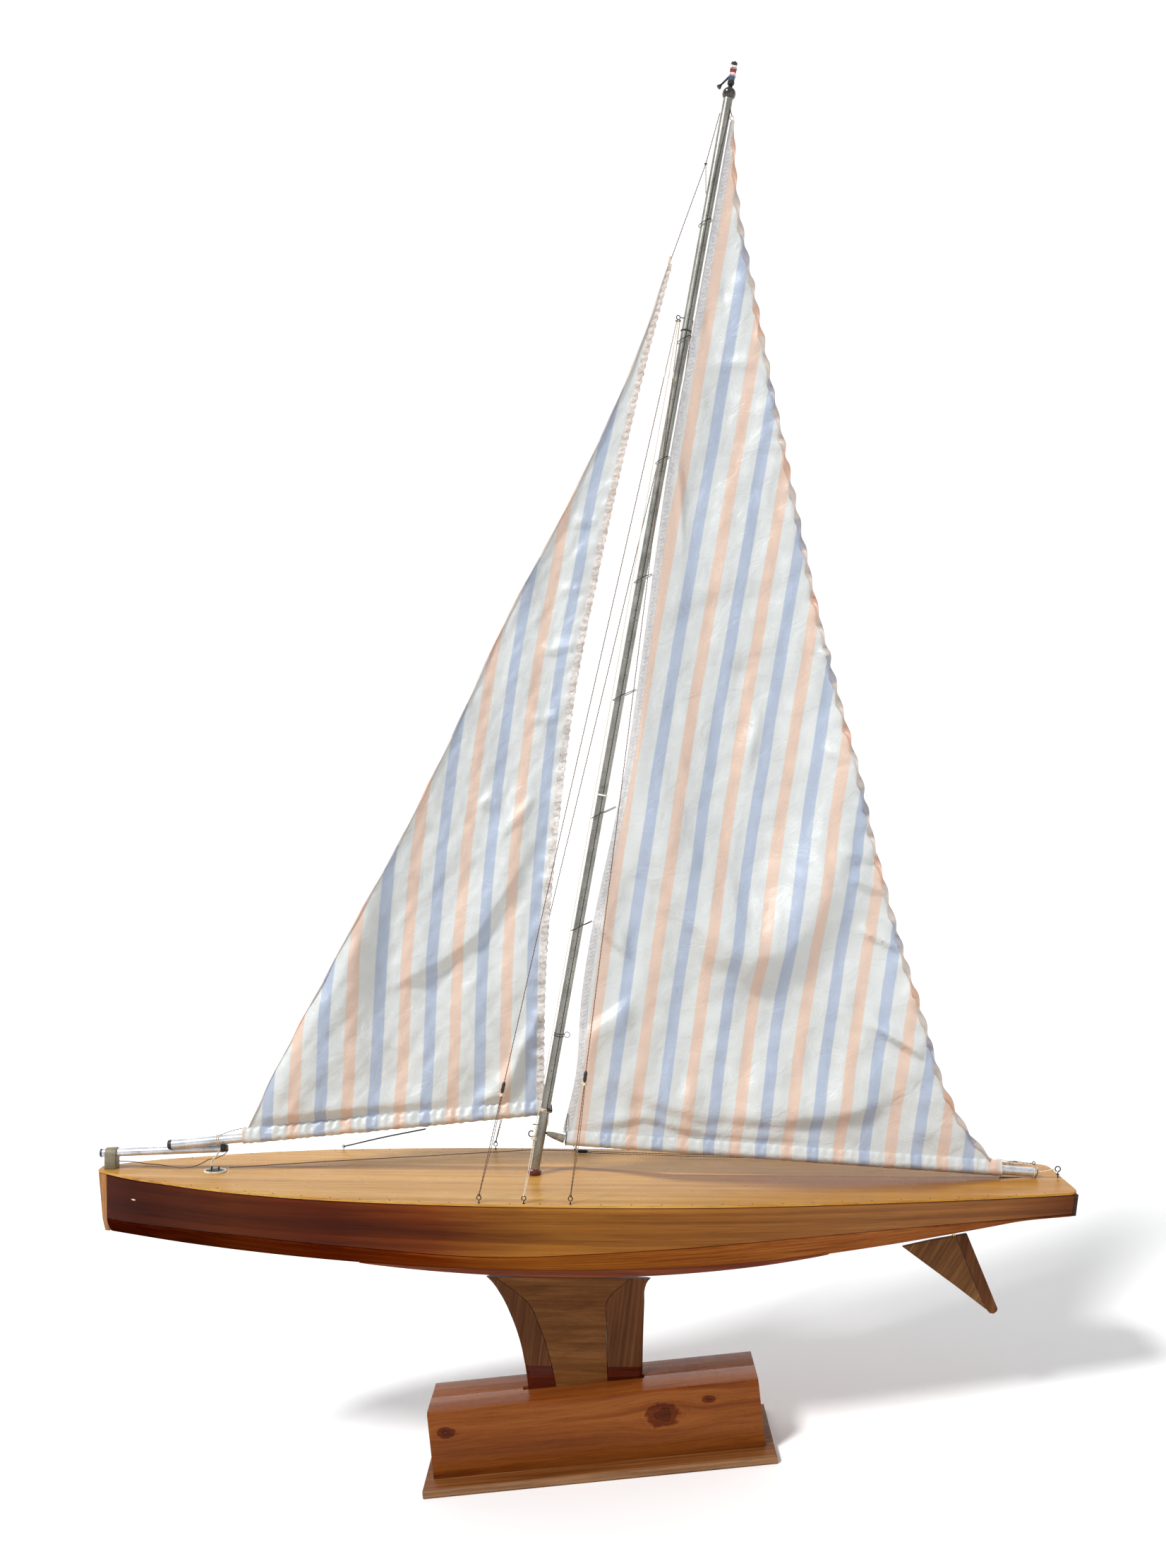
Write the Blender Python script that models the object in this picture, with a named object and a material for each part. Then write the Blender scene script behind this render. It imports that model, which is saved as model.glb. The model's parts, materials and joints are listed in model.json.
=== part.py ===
"""A free-sailing wooden pond yacht standing in its display stand.

Units are metres and +Z is up. The whole object stands on the plane z = 0, with
the origin in the middle of its footprint. +X runs towards the stern and +Y
towards starboard.

The yacht's own pieces are drawn in the yacht's frame: x = 0 at the bow and
growing aft, y to starboard, z = 0 at the lowest point of the deck's sheer. The
yacht's empty then tips that frame bow-up and sets it over the stand.
"""
from math import cos, pi, radians, sin, sqrt, tan

import bmesh
import bpy
import numpy as np
from mathutils import Vector

# Gaps and thicknesses
GAP = 0.0003
PANEL = 0.003
DECK = 0.003

# Where the yacht sits over the stand
PITCH = radians(6.521)
YACHT_X = -0.63003
YACHT_Z = 0.4389
STAND_X = -0.01013

# Hull
LENGTH = 1.27
SHEER_RISE = 0.003
CHINE_FRACTION = 0.85
STEM_DEPTH = 0.0795
STEM_WIDTH = 0.0145
STEM_RAKE = 0.007
TRANSOM = 0.006
HALF_BREADTH = [(0.0, 0.0105), (0.036, 0.0325), (0.0655, 0.0475), (0.1016, 0.0611), (0.1585, 0.0825),
                (0.254, 0.1075), (0.4445, 0.131), (0.635, 0.1361), (0.8255, 0.1292), (1.016, 0.1076),
                (1.168, 0.0852), (1.27, 0.067)]
CHINE_DEPTH = [(0.0, 0.0622), (0.20, 0.0618), (0.3465, 0.067), (0.528, 0.0748), (0.70, 0.0665),
               (0.91, 0.0507), (1.053, 0.0409), (1.27, 0.030)]
KEEL_DEPTH = [(0.0, 0.0785), (0.116, 0.0958), (0.28, 0.1135), (0.46, 0.1247), (0.60, 0.1275),
              (0.738, 0.1240), (0.868, 0.1135), (1.035, 0.0892), (1.16, 0.066), (1.27, 0.0435)]
BATTEN = (0.345, 0.965)
BATTEN_DEPTH = 0.0056
BATTEN_HALF_WIDTH = 0.0065
FRAME_THICKNESS = 0.006
FRAME_PLACES = {"frame_fore": 0.300, "frame_aft": 0.950}

# Fin keel: (x of each edge, z) lines down the fin
FIN_TOP = -0.1348
FIN_WOOD_FOOT = -0.2950
FIN_FOOT = -0.3400
FIN_HALF_THICKNESS = 0.004
FIN_EDGE_HALF_THICKNESS = 0.0014
FIN_LEADING = [(FIN_TOP, 0.5136), (-0.1411, 0.5202), (-0.1595, 0.5334), (-0.1882, 0.5476),
               (-0.2141, 0.5571), (-0.2503, 0.5657), (-0.295, 0.5718), (-0.340, 0.577)]
FIN_LEADING_SEAM = [(FIN_TOP, 0.5265), (-0.1693, 0.5702), (-0.1943, 0.5826), (-0.2332, 0.5964),
                    (-0.2749, 0.606), (-0.295, 0.609)]
FIN_TRAILING_SEAM = [(FIN_TOP, 0.7035), (-0.1597, 0.6761), (-0.1969, 0.6735), (-0.2684, 0.6749),
                     (-0.295, 0.676)]
FIN_TRAILING = [(FIN_TOP, 0.7309), (-0.1386, 0.7272), (-0.148, 0.7235), (-0.1675, 0.7227),
                (-0.2195, 0.7211), (-0.265, 0.7205), (-0.295, 0.7203), (-0.340, 0.7195)]

# Rudder
RUDDER_STOCK_X = 1.128
RUDDER_TILT = radians(10.8)
RUDDER_HALF_THICKNESS = 0.0032
STOCK_RADIUS = 0.002
STOCK_LENGTH_IN_BLADE = 0.045
TUBE_RADIUS = 0.0036

# Mast and masthead
MAST_FOOT_X = 0.5754
MAST_RAKE = 0.1748
MAST_TOP_Z = 1.4258
MAST_RADIUS = 0.0063
TUBE_WALL = 0.001
MAST_STEP_TOP_Z = -0.102
HOUND_Z = 1.134
HOUND_EYES = {"port": (radians(197), 0.0045), "starboard": (radians(62), 0.0026)}
FINIAL_HEIGHT = 0.0505

# Main boom and mainsail
GOOSENECK_Z = 0.0553
MAIN_BOOM = ((0.6162, 0.0472), (1.2352, 0.0098))
BOOM_RADIUS = 0.006
SAIL_THICKNESS = 0.0012
MAIN_GAP = [(0.05, 0.022), (0.133, 0.026), (0.226, 0.016), (0.568, 0.018), (0.6935, 0.013),
            (0.8076, 0.0082), (0.922, 0.0038), (1.119, 0.0034), (1.40, 0.0028)]
MAIN_LEECH = [(0.016, 1.186), (0.05, 1.155), (0.106, 1.1212), (0.1985, 1.0903), (0.374, 1.0386),
              (0.549, 0.996), (0.7355, 0.9487), (0.932, 0.9068), (1.172, 0.859), (1.296, 0.8369),
              (1.40, 0.832)]
MAIN_HEAD_Z = 1.3965
MAIN_CAMBER = 0.045
HOOP_HEIGHTS = (0.326, 0.475, 0.631, 0.787, 0.945, 1.105, 1.26)
HOOP_TILT = radians(25)
HOOP_CLEARANCE = 0.0011
HOOP_SEMI_AXES = (0.0102, 0.0086)

# Jib boom and jib
JIB_BOOM = ((0.0968, -0.0082, 0.0367), (0.5936, 0.020, 0.0828))
JIB_BOOM_RADIUS = 0.0061
JIB_PIVOT = (0.165, -0.0043, 0.037)
JIB_HALYARD_TOP = (0.8143, 0.0, 1.407)
JIB_LUFF = [(0.0504, 0.1927), (0.15, 0.2409), (0.3069, 0.3234), (0.4215, 0.3855), (0.5989, 0.4724),
            (0.7236, 0.5288), (0.911, 0.6269), (1.109, 0.7137), (1.211, 0.7477)]
JIB_LEECH = [(0.082, 0.586), (0.2855, 0.5897), (0.464, 0.6048), (0.652, 0.6282), (0.8085, 0.6583),
             (0.975, 0.6939), (1.141, 0.734), (1.207, 0.7515)]
JIB_HEAD_Z = 1.207
JIB_CAMBER = 0.05

# Bow tube and its saddle
BOW_TUBE = ((0.0, 0.0225), (0.1664, 0.0306))
BOW_TUBE_RADIUS = 0.00525
SADDLE = (0.0072, 0.0222)
SADDLE_HALF_WIDTH = 0.0082

# Shrouds
CHAINPLATES = {"fore": 0.5148, "middle": 0.570, "aft": 0.6273}
CHAINPLATE_Y = 0.1303
EYE_RADIUS = 0.0026
EYE_WIRE = 0.00065
SHROUD_RADIUS = 0.0006
BOWSIE_RADIUS = 0.0023
BOWSIE_HALF_LENGTH = 0.007
BOWSIE_HEIGHTS = {"fore": 0.139, "middle": 0.087, "aft": 0.153}

# Stand
STAND_LENGTH = 0.429
STAND_WIDTH = 0.0943
STAND_TOP = 0.0945
PLATE_LENGTH = 0.4515
PLATE_WIDTH = 0.154
PLATE_HEIGHT = 0.0094
EASED_EDGE = 0.0028
SLOT_CLEARANCE = 0.0012
SCREW_RADIUS = 0.002
SCREW_HEAD_RADIUS = 0.0042


# ---------------------------------------------------------------- helpers

def material(name, colour, roughness, metallic=0.0):
    """One plain Principled material."""
    made = bpy.data.materials.new(name)
    made.use_nodes = True
    shader = made.node_tree.nodes["Principled BSDF"]
    shader.inputs["Base Color"].default_value = (*colour, 1.0)
    shader.inputs["Roughness"].default_value = roughness
    shader.inputs["Metallic"].default_value = metallic
    return made


def empty(name, location, parent=None, rotation=(0.0, 0.0, 0.0)):
    """A guide empty; children keep their coordinates in the parent's own frame."""
    made = bpy.data.objects.new(name, None)
    made.location = location
    made.rotation_euler = rotation
    made.parent = parent
    bpy.context.scene.collection.objects.link(made)
    return made


def add_object(name, data, look, parent):
    """Link an object under an empty that stands at its joint's axis."""
    made = bpy.data.objects.new(name, data)
    if look is not None:
        data.materials.append(look)
    bpy.context.scene.collection.objects.link(made)
    made.parent = parent
    if parent is not None and parent.parent is not None:
        made.matrix_parent_inverse.translation = -parent.location
    return made


def finish_mesh(name, work, look, parent, smooth_angle=radians(40)):
    """Close a bmesh into an object with outward faces, shaded smooth round its curves."""
    bmesh.ops.recalc_face_normals(work, faces=work.faces)
    mesh = bpy.data.meshes.new(name)
    work.to_mesh(mesh)
    work.free()
    mesh.shade_smooth()
    mesh.set_sharp_from_angle(angle=smooth_angle)
    return add_object(name, mesh, look, parent)


def loft(name, rings, look, parent, around=False):
    """Skin a run of equal rings; the ends are capped unless the run closes on itself."""
    work = bmesh.new()
    rows = [[work.verts.new(point) for point in ring] for ring in rings]
    count = len(rows[0])
    runs = list(zip(rows, rows[1:]))
    if around:
        runs.append((rows[-1], rows[0]))
    for first, second in runs:
        for i in range(count):
            j = (i + 1) % count
            work.faces.new((first[i], first[j], second[j], second[i]))
    if not around:
        work.faces.new(rows[0][::-1])
        work.faces.new(rows[-1])
    return finish_mesh(name, work, look, parent)


def cross_frame(direction):
    """Two unit vectors across a direction."""
    along = Vector(direction).normalized()
    side = along.cross(Vector((0.0, 1.0, 0.0)))
    if side.length < 0.1:
        side = along.cross(Vector((1.0, 0.0, 0.0)))
    side.normalize()
    return along, side, along.cross(side)


def turned(name, profile, base, direction, look, parent, sides=16):
    """A lathe piece: profile holds (distance along the axis, radius)."""
    along, side, other = cross_frame(direction)
    rings = []
    for distance, radius in profile:
        centre = Vector(base) + along * distance
        rings.append([centre + (side * cos(2 * pi * i / sides) + other * sin(2 * pi * i / sides)) * radius
                      for i in range(sides)])
    return loft(name, rings, look, parent)


def pipe(name, start, end, outer, inner, look, parent, sides=16):
    """A straight tube with open ends."""
    along, side, other = cross_frame(Vector(end) - Vector(start))
    rings = []
    for i in range(sides):
        out = side * cos(2 * pi * i / sides) + other * sin(2 * pi * i / sides)
        rings.append([Vector(start) + out * outer, Vector(end) + out * outer,
                      Vector(end) + out * inner, Vector(start) + out * inner])
    return loft(name, rings, look, parent, around=True)


def wire(name, points, radius, look, parent, thickness=None):
    """A round wire or cord along a polyline; thickness scales the radius point by point."""
    curve = bpy.data.curves.new(name, "CURVE")
    curve.dimensions = "3D"
    curve.bevel_depth = radius
    curve.bevel_resolution = 2
    curve.resolution_u = 1
    curve.render_resolution_u = 0
    curve.use_fill_caps = True
    spline = curve.splines.new("POLY")
    spline.points.add(len(points) - 1)
    for i, point in enumerate(points):
        spline.points[i].co = (*point, 1.0)
        spline.points[i].radius = thickness[i] if thickness else 1.0
    return add_object(name, curve, look, parent)


def cut(target, cutter):
    """Cut one object out of another and hide the cutter."""
    modifier = target.modifiers.new("Cut", "BOOLEAN")
    modifier.operation = "DIFFERENCE"
    modifier.solver = "EXACT"
    modifier.object = cutter
    cutter.hide_render = True
    cutter.display_type = "WIRE"


def join(target, piece):
    """Unite a piece with the object that carries it and hide the loose copy."""
    cut(target, piece)
    target.modifiers[-1].operation = "UNION"


def fair_curve(points):
    """A smooth function through (place, value) points."""
    places, values = np.array(sorted(points)).T
    slopes = np.gradient(values, places)

    def value(place):
        i = int(np.clip(np.searchsorted(places, place) - 1, 0, len(places) - 2))
        span = places[i + 1] - places[i]
        t = (place - places[i]) / span
        start = (1 + 2 * t) * (1 - t) ** 2 * values[i] + t * (1 - t) ** 2 * span * slopes[i]
        end = t * t * (3 - 2 * t) * values[i + 1] - t * t * (1 - t) * span * slopes[i + 1]
        return float(start + end)

    return value


def smooth_route(points, steps):
    """Read evenly stepped points from a smooth curve through a cord's own points."""
    knots = [0.0]
    for a, b in zip(points, points[1:]):
        knots.append(knots[-1] + (Vector(b) - Vector(a)).length)
    axes = [fair_curve([(k, p[i]) for k, p in zip(knots, points)]) for i in range(3)]
    return [tuple(axis(knots[-1] * s / steps) for axis in axes) for s in range(steps + 1)]


def line_at(ends, place):
    """Height of a straight line through two (place, height) ends."""
    (x0, z0), (x1, z1) = ends
    return z0 + (z1 - z0) * (place - x0) / (x1 - x0)


# ---------------------------------------------------------------- hull shape

half_breadth = fair_curve(HALF_BREADTH)
chine_depth = fair_curve(CHINE_DEPTH)
keel_depth = fair_curve(KEEL_DEPTH)


def sheer(x):
    """Deck edge height."""
    return SHEER_RISE * (2 * x / LENGTH - 1) ** 2


def chine_half(x):
    """Half breadth at the chine."""
    return CHINE_FRACTION * half_breadth(x)


def bottom_rise(x):
    """Rise of the bottom per unit of half breadth."""
    return (keel_depth(x) - chine_depth(x)) / chine_half(x)


def batten_drop(x):
    """Depth of the keel batten below the bottom panels."""
    part = (x - BATTEN[0]) / (BATTEN[1] - BATTEN[0])
    return 0.001 + BATTEN_DEPTH * sin(pi * min(max(part, 0.0), 1.0))


def stations(first, last, count):
    """Evenly spaced places along the hull."""
    return [first + (last - first) * i / (count - 1) for i in range(count)]


def side_ring(x, side):
    """Cross-section of a side panel."""
    top = sheer(x) - DECK - GAP
    low = -chine_depth(x) + PANEL + 2 * GAP
    low_half = chine_half(x) + (half_breadth(x) - chine_half(x)) * (low + chine_depth(x)) / chine_depth(x)
    return [(x, side * half_breadth(x), top), (x, side * low_half, low),
            (x, side * (low_half - PANEL), low), (x, side * (half_breadth(x) - PANEL), top)]


def bottom_ring(x, side):
    """Cross-section of a bottom panel, which laps under the side panel."""
    thickness = PANEL * sqrt(1 + bottom_rise(x) ** 2)
    inner = GAP
    low = -keel_depth(x) + bottom_rise(x) * inner
    return [(x, side * chine_half(x), -chine_depth(x)), (x, side * inner, low),
            (x, side * inner, low + thickness), (x, side * chine_half(x), -chine_depth(x) + PANEL)]


def frame_ring(x):
    """Outline of an inside frame, a gap clear of every panel."""
    top = sheer(x) - DECK - 2 * GAP
    low = -chine_depth(x) + PANEL + 5 * GAP
    keel = -keel_depth(x) + PANEL * 1.2 + 5 * GAP
    top_half = half_breadth(x) - PANEL - 3 * GAP
    low_half = chine_half(x) - PANEL - 3 * GAP
    return [(x, top_half, top), (x, low_half, low), (x, 0.0, keel), (x, -low_half, low), (x, -top_half, top)]


def make_hull(yacht, looks):
    """Sides, bottom, deck, stem, transom, keel batten and inside frames."""
    first = STEM_WIDTH + GAP
    last = LENGTH - TRANSOM - GAP
    for word, side in (("port", -1), ("starboard", 1)):
        loft(f"hull_side_{word}", [side_ring(x, side) for x in stations(first, last, 22)],
             looks["side_wood"], yacht)
        bottom = loft(f"hull_bottom_{word}", [bottom_ring(x, side) for x in stations(first, last, 22)],
                      looks["bottom_wood"], yacht)
        cut(bottom, rudder_hole(yacht, f"rudder_hole_{word}"))

    deck_places = [0.0] + stations(0.012, LENGTH - 0.016, 24)
    rings = [[(x, half_breadth(x), sheer(x)), (x, -half_breadth(x), sheer(x)),
              (x, -half_breadth(x), sheer(x) - DECK), (x, half_breadth(x), sheer(x) - DECK)]
             for x in deck_places]
    for part in (0.5, 0.85, 1.0):
        x = LENGTH - 0.016 + 0.016 * part
        half = half_breadth(x) - 0.012 * (1 - sqrt(1 - part ** 2))
        rings.append([(x, half, sheer(x)), (x, -half, sheer(x)), (x, -half, sheer(x) - DECK),
                      (x, half, sheer(x) - DECK)])
    deck = loft("deck_panel", rings, looks["deck_wood"], yacht)
    hole = turned("mast_hole", [(0.0, MAST_RADIUS + GAP), (0.05, MAST_RADIUS + GAP)],
                  (MAST_FOOT_X - MAST_RAKE * 0.025, 0.0, -0.025), (MAST_RAKE, 0.0, 1.0), None, yacht)
    cut(deck, hole)

    def stem_ring(z):
        front = -z / STEM_DEPTH * STEM_RAKE
        taper = 1.0 if z > -0.062 else (STEM_DEPTH + z) / (STEM_DEPTH - 0.062) * 0.72 + 0.28
        fore = 0.0092 * taper * (1 + 0.1 * z / STEM_DEPTH)
        aft = (half_breadth(STEM_WIDTH) - 0.0009) * taper * (1 + 0.15 * z / STEM_DEPTH)
        return [(front, fore, z), (front, -fore, z), (STEM_WIDTH, -aft, z), (STEM_WIDTH, aft, z)]

    stem_heights = (sheer(0.0) - DECK - 2 * GAP, -0.03, -0.062, -STEM_DEPTH)
    loft("stem_post", [stem_ring(z) for z in stem_heights], looks["stem_wood"], yacht)

    def transom_ring(x):
        half, low_half, shrink = half_breadth(x), chine_half(x), 0.0006
        top = sheer(x) - DECK - GAP
        ring = [(x, half - shrink, top), (x, low_half - shrink, -chine_depth(x))]
        ring += [(x, 0.0, -keel_depth(x)), (x, -low_half + shrink, -chine_depth(x))]
        return ring + [(x, -half + shrink, top)]

    loft("transom", [transom_ring(LENGTH - TRANSOM), transom_ring(LENGTH - 0.0004)],
         looks["transom_wood"], yacht)

    def batten_ring(x):
        top = -keel_depth(x) - 1.2 * GAP
        shoulder = top + bottom_rise(x) * BATTEN_HALF_WIDTH
        low = -keel_depth(x) - batten_drop(x)
        return [(x, 0.0, top), (x, BATTEN_HALF_WIDTH, shoulder), (x, 0.8 * BATTEN_HALF_WIDTH, low),
                (x, -0.8 * BATTEN_HALF_WIDTH, low), (x, -BATTEN_HALF_WIDTH, shoulder)]

    loft("keel_batten", [batten_ring(x) for x in stations(*BATTEN, 18)], looks["keel_wood"], yacht)
    for name, place in FRAME_PLACES.items():
        loft(name, [frame_ring(place), frame_ring(place + FRAME_THICKNESS)], looks["ply"], yacht)


def make_mast_step(yacht, looks):
    """A block on the bottom with a socket for the mast's foot."""
    foot_x = MAST_FOOT_X + MAST_RAKE * MAST_STEP_TOP_Z
    places = (foot_x - 0.028, foot_x + 0.028)
    rings = []
    for x in places:
        low = max(-keel_depth(place) for place in places) + PANEL * 1.2 + 5 * GAP
        rings.append([(x, 0.012, MAST_STEP_TOP_Z + 0.012), (x, -0.012, MAST_STEP_TOP_Z + 0.012),
                      (x, -0.012, low + 0.012 * bottom_rise(x)), (x, 0.0, low),
                      (x, 0.012, low + 0.012 * bottom_rise(x))])
    step = loft("mast_step", rings, looks["ply"], yacht)
    socket = turned("mast_socket", [(0.0, MAST_RADIUS + GAP), (0.05, MAST_RADIUS + GAP)],
                    (foot_x, 0.0, MAST_STEP_TOP_Z - GAP), (MAST_RAKE, 0.0, 1.0), None, yacht)
    cut(step, socket)


# ---------------------------------------------------------------- fin and rudder

def plate_ring(z, fore, aft, fore_half, aft_half, shoulder=0.007):
    """Level section of a board whose fore or aft edge may be faired thin."""
    full = FIN_HALF_THICKNESS
    return [(fore, fore_half, z), (fore + shoulder, full, z), (aft - shoulder, full, z), (aft, aft_half, z),
            (aft, -aft_half, z), (aft - shoulder, -full, z), (fore + shoulder, -full, z), (fore, -fore_half, z)]


def make_fin(yacht, looks):
    """Core and two edge strips of the fin, with the ballast slab at its hidden foot."""
    leading, trailing = fair_curve(FIN_LEADING), fair_curve(FIN_TRAILING)
    fore_seam, aft_seam = fair_curve(FIN_LEADING_SEAM), fair_curve(FIN_TRAILING_SEAM)
    full, thin, seam = FIN_HALF_THICKNESS, FIN_EDGE_HALF_THICKNESS, GAP / 2
    heights = [FIN_TOP, -0.140, -0.1475, -0.158, -0.170, -0.188, -0.214, -0.250, FIN_WOOD_FOOT]
    loft("fin_leading_strip", [plate_ring(z, leading(z), fore_seam(z) - seam, thin, full) for z in heights],
         looks["fin_edge_wood"], yacht)
    loft("fin_core", [plate_ring(z, fore_seam(z) + seam, aft_seam(z) - seam, full, full) for z in heights],
         looks["fin_core_wood"], yacht)
    loft("fin_trailing_strip",
         [plate_ring(z, aft_seam(z) + seam, trailing(z), full, thin) for z in heights],
         looks["fin_edge_wood"], yacht)
    loft("fin_ballast", [plate_ring(z, leading(z), trailing(z), thin, thin)
                         for z in (FIN_WOOD_FOOT - GAP, FIN_FOOT)], looks["lead"], yacht)


def rudder_axis():
    """A point on the bottom and the stock's direction, up and forward."""
    point = Vector((RUDDER_STOCK_X, 0.0, -keel_depth(RUDDER_STOCK_X)))
    return point, Vector((-sin(RUDDER_TILT), 0.0, cos(RUDDER_TILT)))


def rudder_hole(yacht, name):
    """Cutter for the rudder tube's hole in a bottom panel."""
    point, up = rudder_axis()
    radius = TUBE_RADIUS + GAP
    return turned(name, [(0.0, radius), (0.05, radius)], point - up * 0.02, up, None, yacht)


def board(name, outline, look, parent, half=RUDDER_HALF_THICKNESS):
    """A flat board with an (x, z) outline."""
    rings = [[(x, y, z) for x, z in outline] for y in (-half, half)]
    return loft(name, rings, look, parent)


def make_rudder(yacht, rudder, looks):
    """Blade, trailing strip, stock and the tube that it turns in."""
    blade = board("rudder_blade", [(1.061, -0.0892), (1.0998, -0.0800), (1.1305, -0.0742), (1.1543, -0.1332),
                                   (1.1708, -0.1700), (1.1300, -0.1392)], looks["fin_core_wood"], rudder)
    board("rudder_trailing_strip", [(1.1309, -0.0741), (1.1455, -0.0713), (1.1858, -0.1688),
                                    (1.1846, -0.1724), (1.1806, -0.1755), (1.1752, -0.1748),
                                    (1.1712, -0.1700), (1.1546, -0.1331)], looks["fin_edge_wood"], rudder)
    point, up = rudder_axis()
    bore = turned("stock_hole", [(0.0, STOCK_RADIUS + GAP), (0.06, STOCK_RADIUS + GAP)],
                  point - up * (STOCK_LENGTH_IN_BLADE + GAP), up, None, yacht, sides=12)
    cut(blade, bore)
    tube_top = 0.050
    turned("rudder_stock", [(-STOCK_LENGTH_IN_BLADE, STOCK_RADIUS), (tube_top + GAP, STOCK_RADIUS),
                            (tube_top + GAP, 0.0042), (tube_top + 0.005, 0.0042)],
           point, up, looks["brass"], rudder, sides=12)
    pipe("rudder_tube", point + up * 0.0006, point + up * tube_top, TUBE_RADIUS, STOCK_RADIUS + GAP,
         looks["brass"], yacht, sides=12)


# ---------------------------------------------------------------- mast

def mast_x(z):
    """Mast axis at a height."""
    return MAST_FOOT_X + MAST_RAKE * z


def mast_back(z):
    """Aft face of the mast at a height."""
    return mast_x(z) + MAST_RADIUS * sqrt(1 + MAST_RAKE ** 2)


def screw_eye(name, foot, direction, turn, look, parent, shank=0.0035, radius=EYE_RADIUS, thick=EYE_WIRE):
    """A wire eye: a shank that curls round into an almost closed ring in the plane of turn."""
    along = Vector(direction).normalized()
    across = Vector(turn).normalized()
    centre = Vector(foot) + along * (shank + radius)
    points = [Vector(foot), Vector(foot) + along * (shank - 0.0006)]
    for step in range(13):
        angle = radians(-80 + step * 26)
        points.append(centre + along * sin(angle) * radius + across * cos(angle) * radius)
    return wire(name, points, thick, look, parent)


def make_mast(yacht, looks):
    """Mast tube, deck collar, masthead finial and the eyes that the shrouds hang from."""
    rake = Vector((MAST_RAKE, 0.0, 1.0)).normalized()
    pipe("mast_tube", (mast_x(MAST_STEP_TOP_Z), 0.0, MAST_STEP_TOP_Z), (mast_x(MAST_TOP_Z), 0.0, MAST_TOP_Z),
         MAST_RADIUS, MAST_RADIUS - TUBE_WALL, looks["mast_metal"], yacht)

    def collar_ring(z, radius):
        return [(mast_x(z) + radius * sqrt(1 + MAST_RAKE ** 2) * cos(2 * pi * i / 20),
                 radius * sin(2 * pi * i / 20), z) for i in range(20)]

    low, high = 2 * GAP, 0.008
    loft("mast_collar", [collar_ring(low, 0.0092), collar_ring(high - 0.002, 0.0092),
                         collar_ring(high, 0.0078), collar_ring(high, MAST_RADIUS + GAP),
                         collar_ring(low, MAST_RADIUS + GAP)], looks["collar_red"], yacht, around=True)
    top = Vector((mast_x(MAST_TOP_Z), 0.0, MAST_TOP_Z))
    ball = [(0.0003, 0.0062), (0.0022, 0.0080), (0.0055, 0.0089), (0.0095, 0.0086), (0.0128, 0.0066),
            (0.0140, 0.0045), (0.0172, 0.0026)]
    turned("masthead_finial", ball + [(0.0180, 0.0011), (FINIAL_HEIGHT - 0.0018, 0.0011),
                                      (FINIAL_HEIGHT - 0.0018, 0.0024), (FINIAL_HEIGHT, 0.0012)],
           top, rake, looks["black_gloss"], yacht, sides=14)
    for word, (bearing, shank) in HOUND_EYES.items():
        out = Vector((cos(bearing), sin(bearing), 0.0))
        foot = Vector((mast_x(HOUND_Z), 0.0, HOUND_Z)) + out * (MAST_RADIUS * 1.02 + 2 * GAP)
        screw_eye(f"hound_eye_{word}", foot, out, (0.0, 0.0, 1.0), looks["wire"], yacht, shank=shank)
    neck_z = GOOSENECK_Z - 0.0017
    screw_eye("gooseneck_eye", (mast_x(neck_z) - MAST_RADIUS - 3 * GAP, 0.0, neck_z), (-1.0, 0.0, 0.0),
              (0.0, 0.0, 1.0), looks["wire"], yacht, shank=0.0022)


def make_pennant(yacht, pennant, looks):
    """The furled pennant: a sleeve on the finial's spindle with a balance arm."""
    rake = Vector((MAST_RAKE, 0.0, 1.0)).normalized()
    top = Vector((mast_x(MAST_TOP_Z), 0.0, MAST_TOP_Z))
    rings = []
    profile = [(0.0186, 0.0031), (0.0215, 0.0040), (0.0440, 0.0040), (0.0480, 0.0031), (0.0480, 0.0015),
               (0.0186, 0.0015)]
    along, side, other = cross_frame(rake)
    for i in range(12):
        out = side * cos(2 * pi * i / 12) + other * sin(2 * pi * i / 12)
        rings.append([top + along * distance + out * radius for distance, radius in profile])
    sleeve = loft("pennant", rings, looks["pennant_cloth"], pennant, around=True)
    root = top + rake * 0.030 + Vector((-0.0024, 0.0, 0.0))
    tip = Vector((0.8118, 0.0, 1.4409))
    reach = (tip - root).length
    arm = turned("pennant_arm", [(0.0, 0.0006), (reach - 0.003, 0.0006), (reach - 0.003, 0.0013),
                                 (reach, 0.0022)], root, tip - root, None, pennant, sides=8)
    join(sleeve, arm)


def hound_point(side_word, word):
    """Top of a shroud, just under its hound eye."""
    bearing, shank = HOUND_EYES[side_word]
    reach = MAST_RADIUS * 1.02 + 2 * GAP + shank + EYE_RADIUS
    shift = {"fore": -0.0020, "middle": 0.0, "aft": 0.0020}[word]
    low = HOUND_Z - EYE_RADIUS - EYE_WIRE - 0.0016
    return Vector((mast_x(HOUND_Z) + cos(bearing) * reach + shift, sin(bearing) * reach, low))


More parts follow.
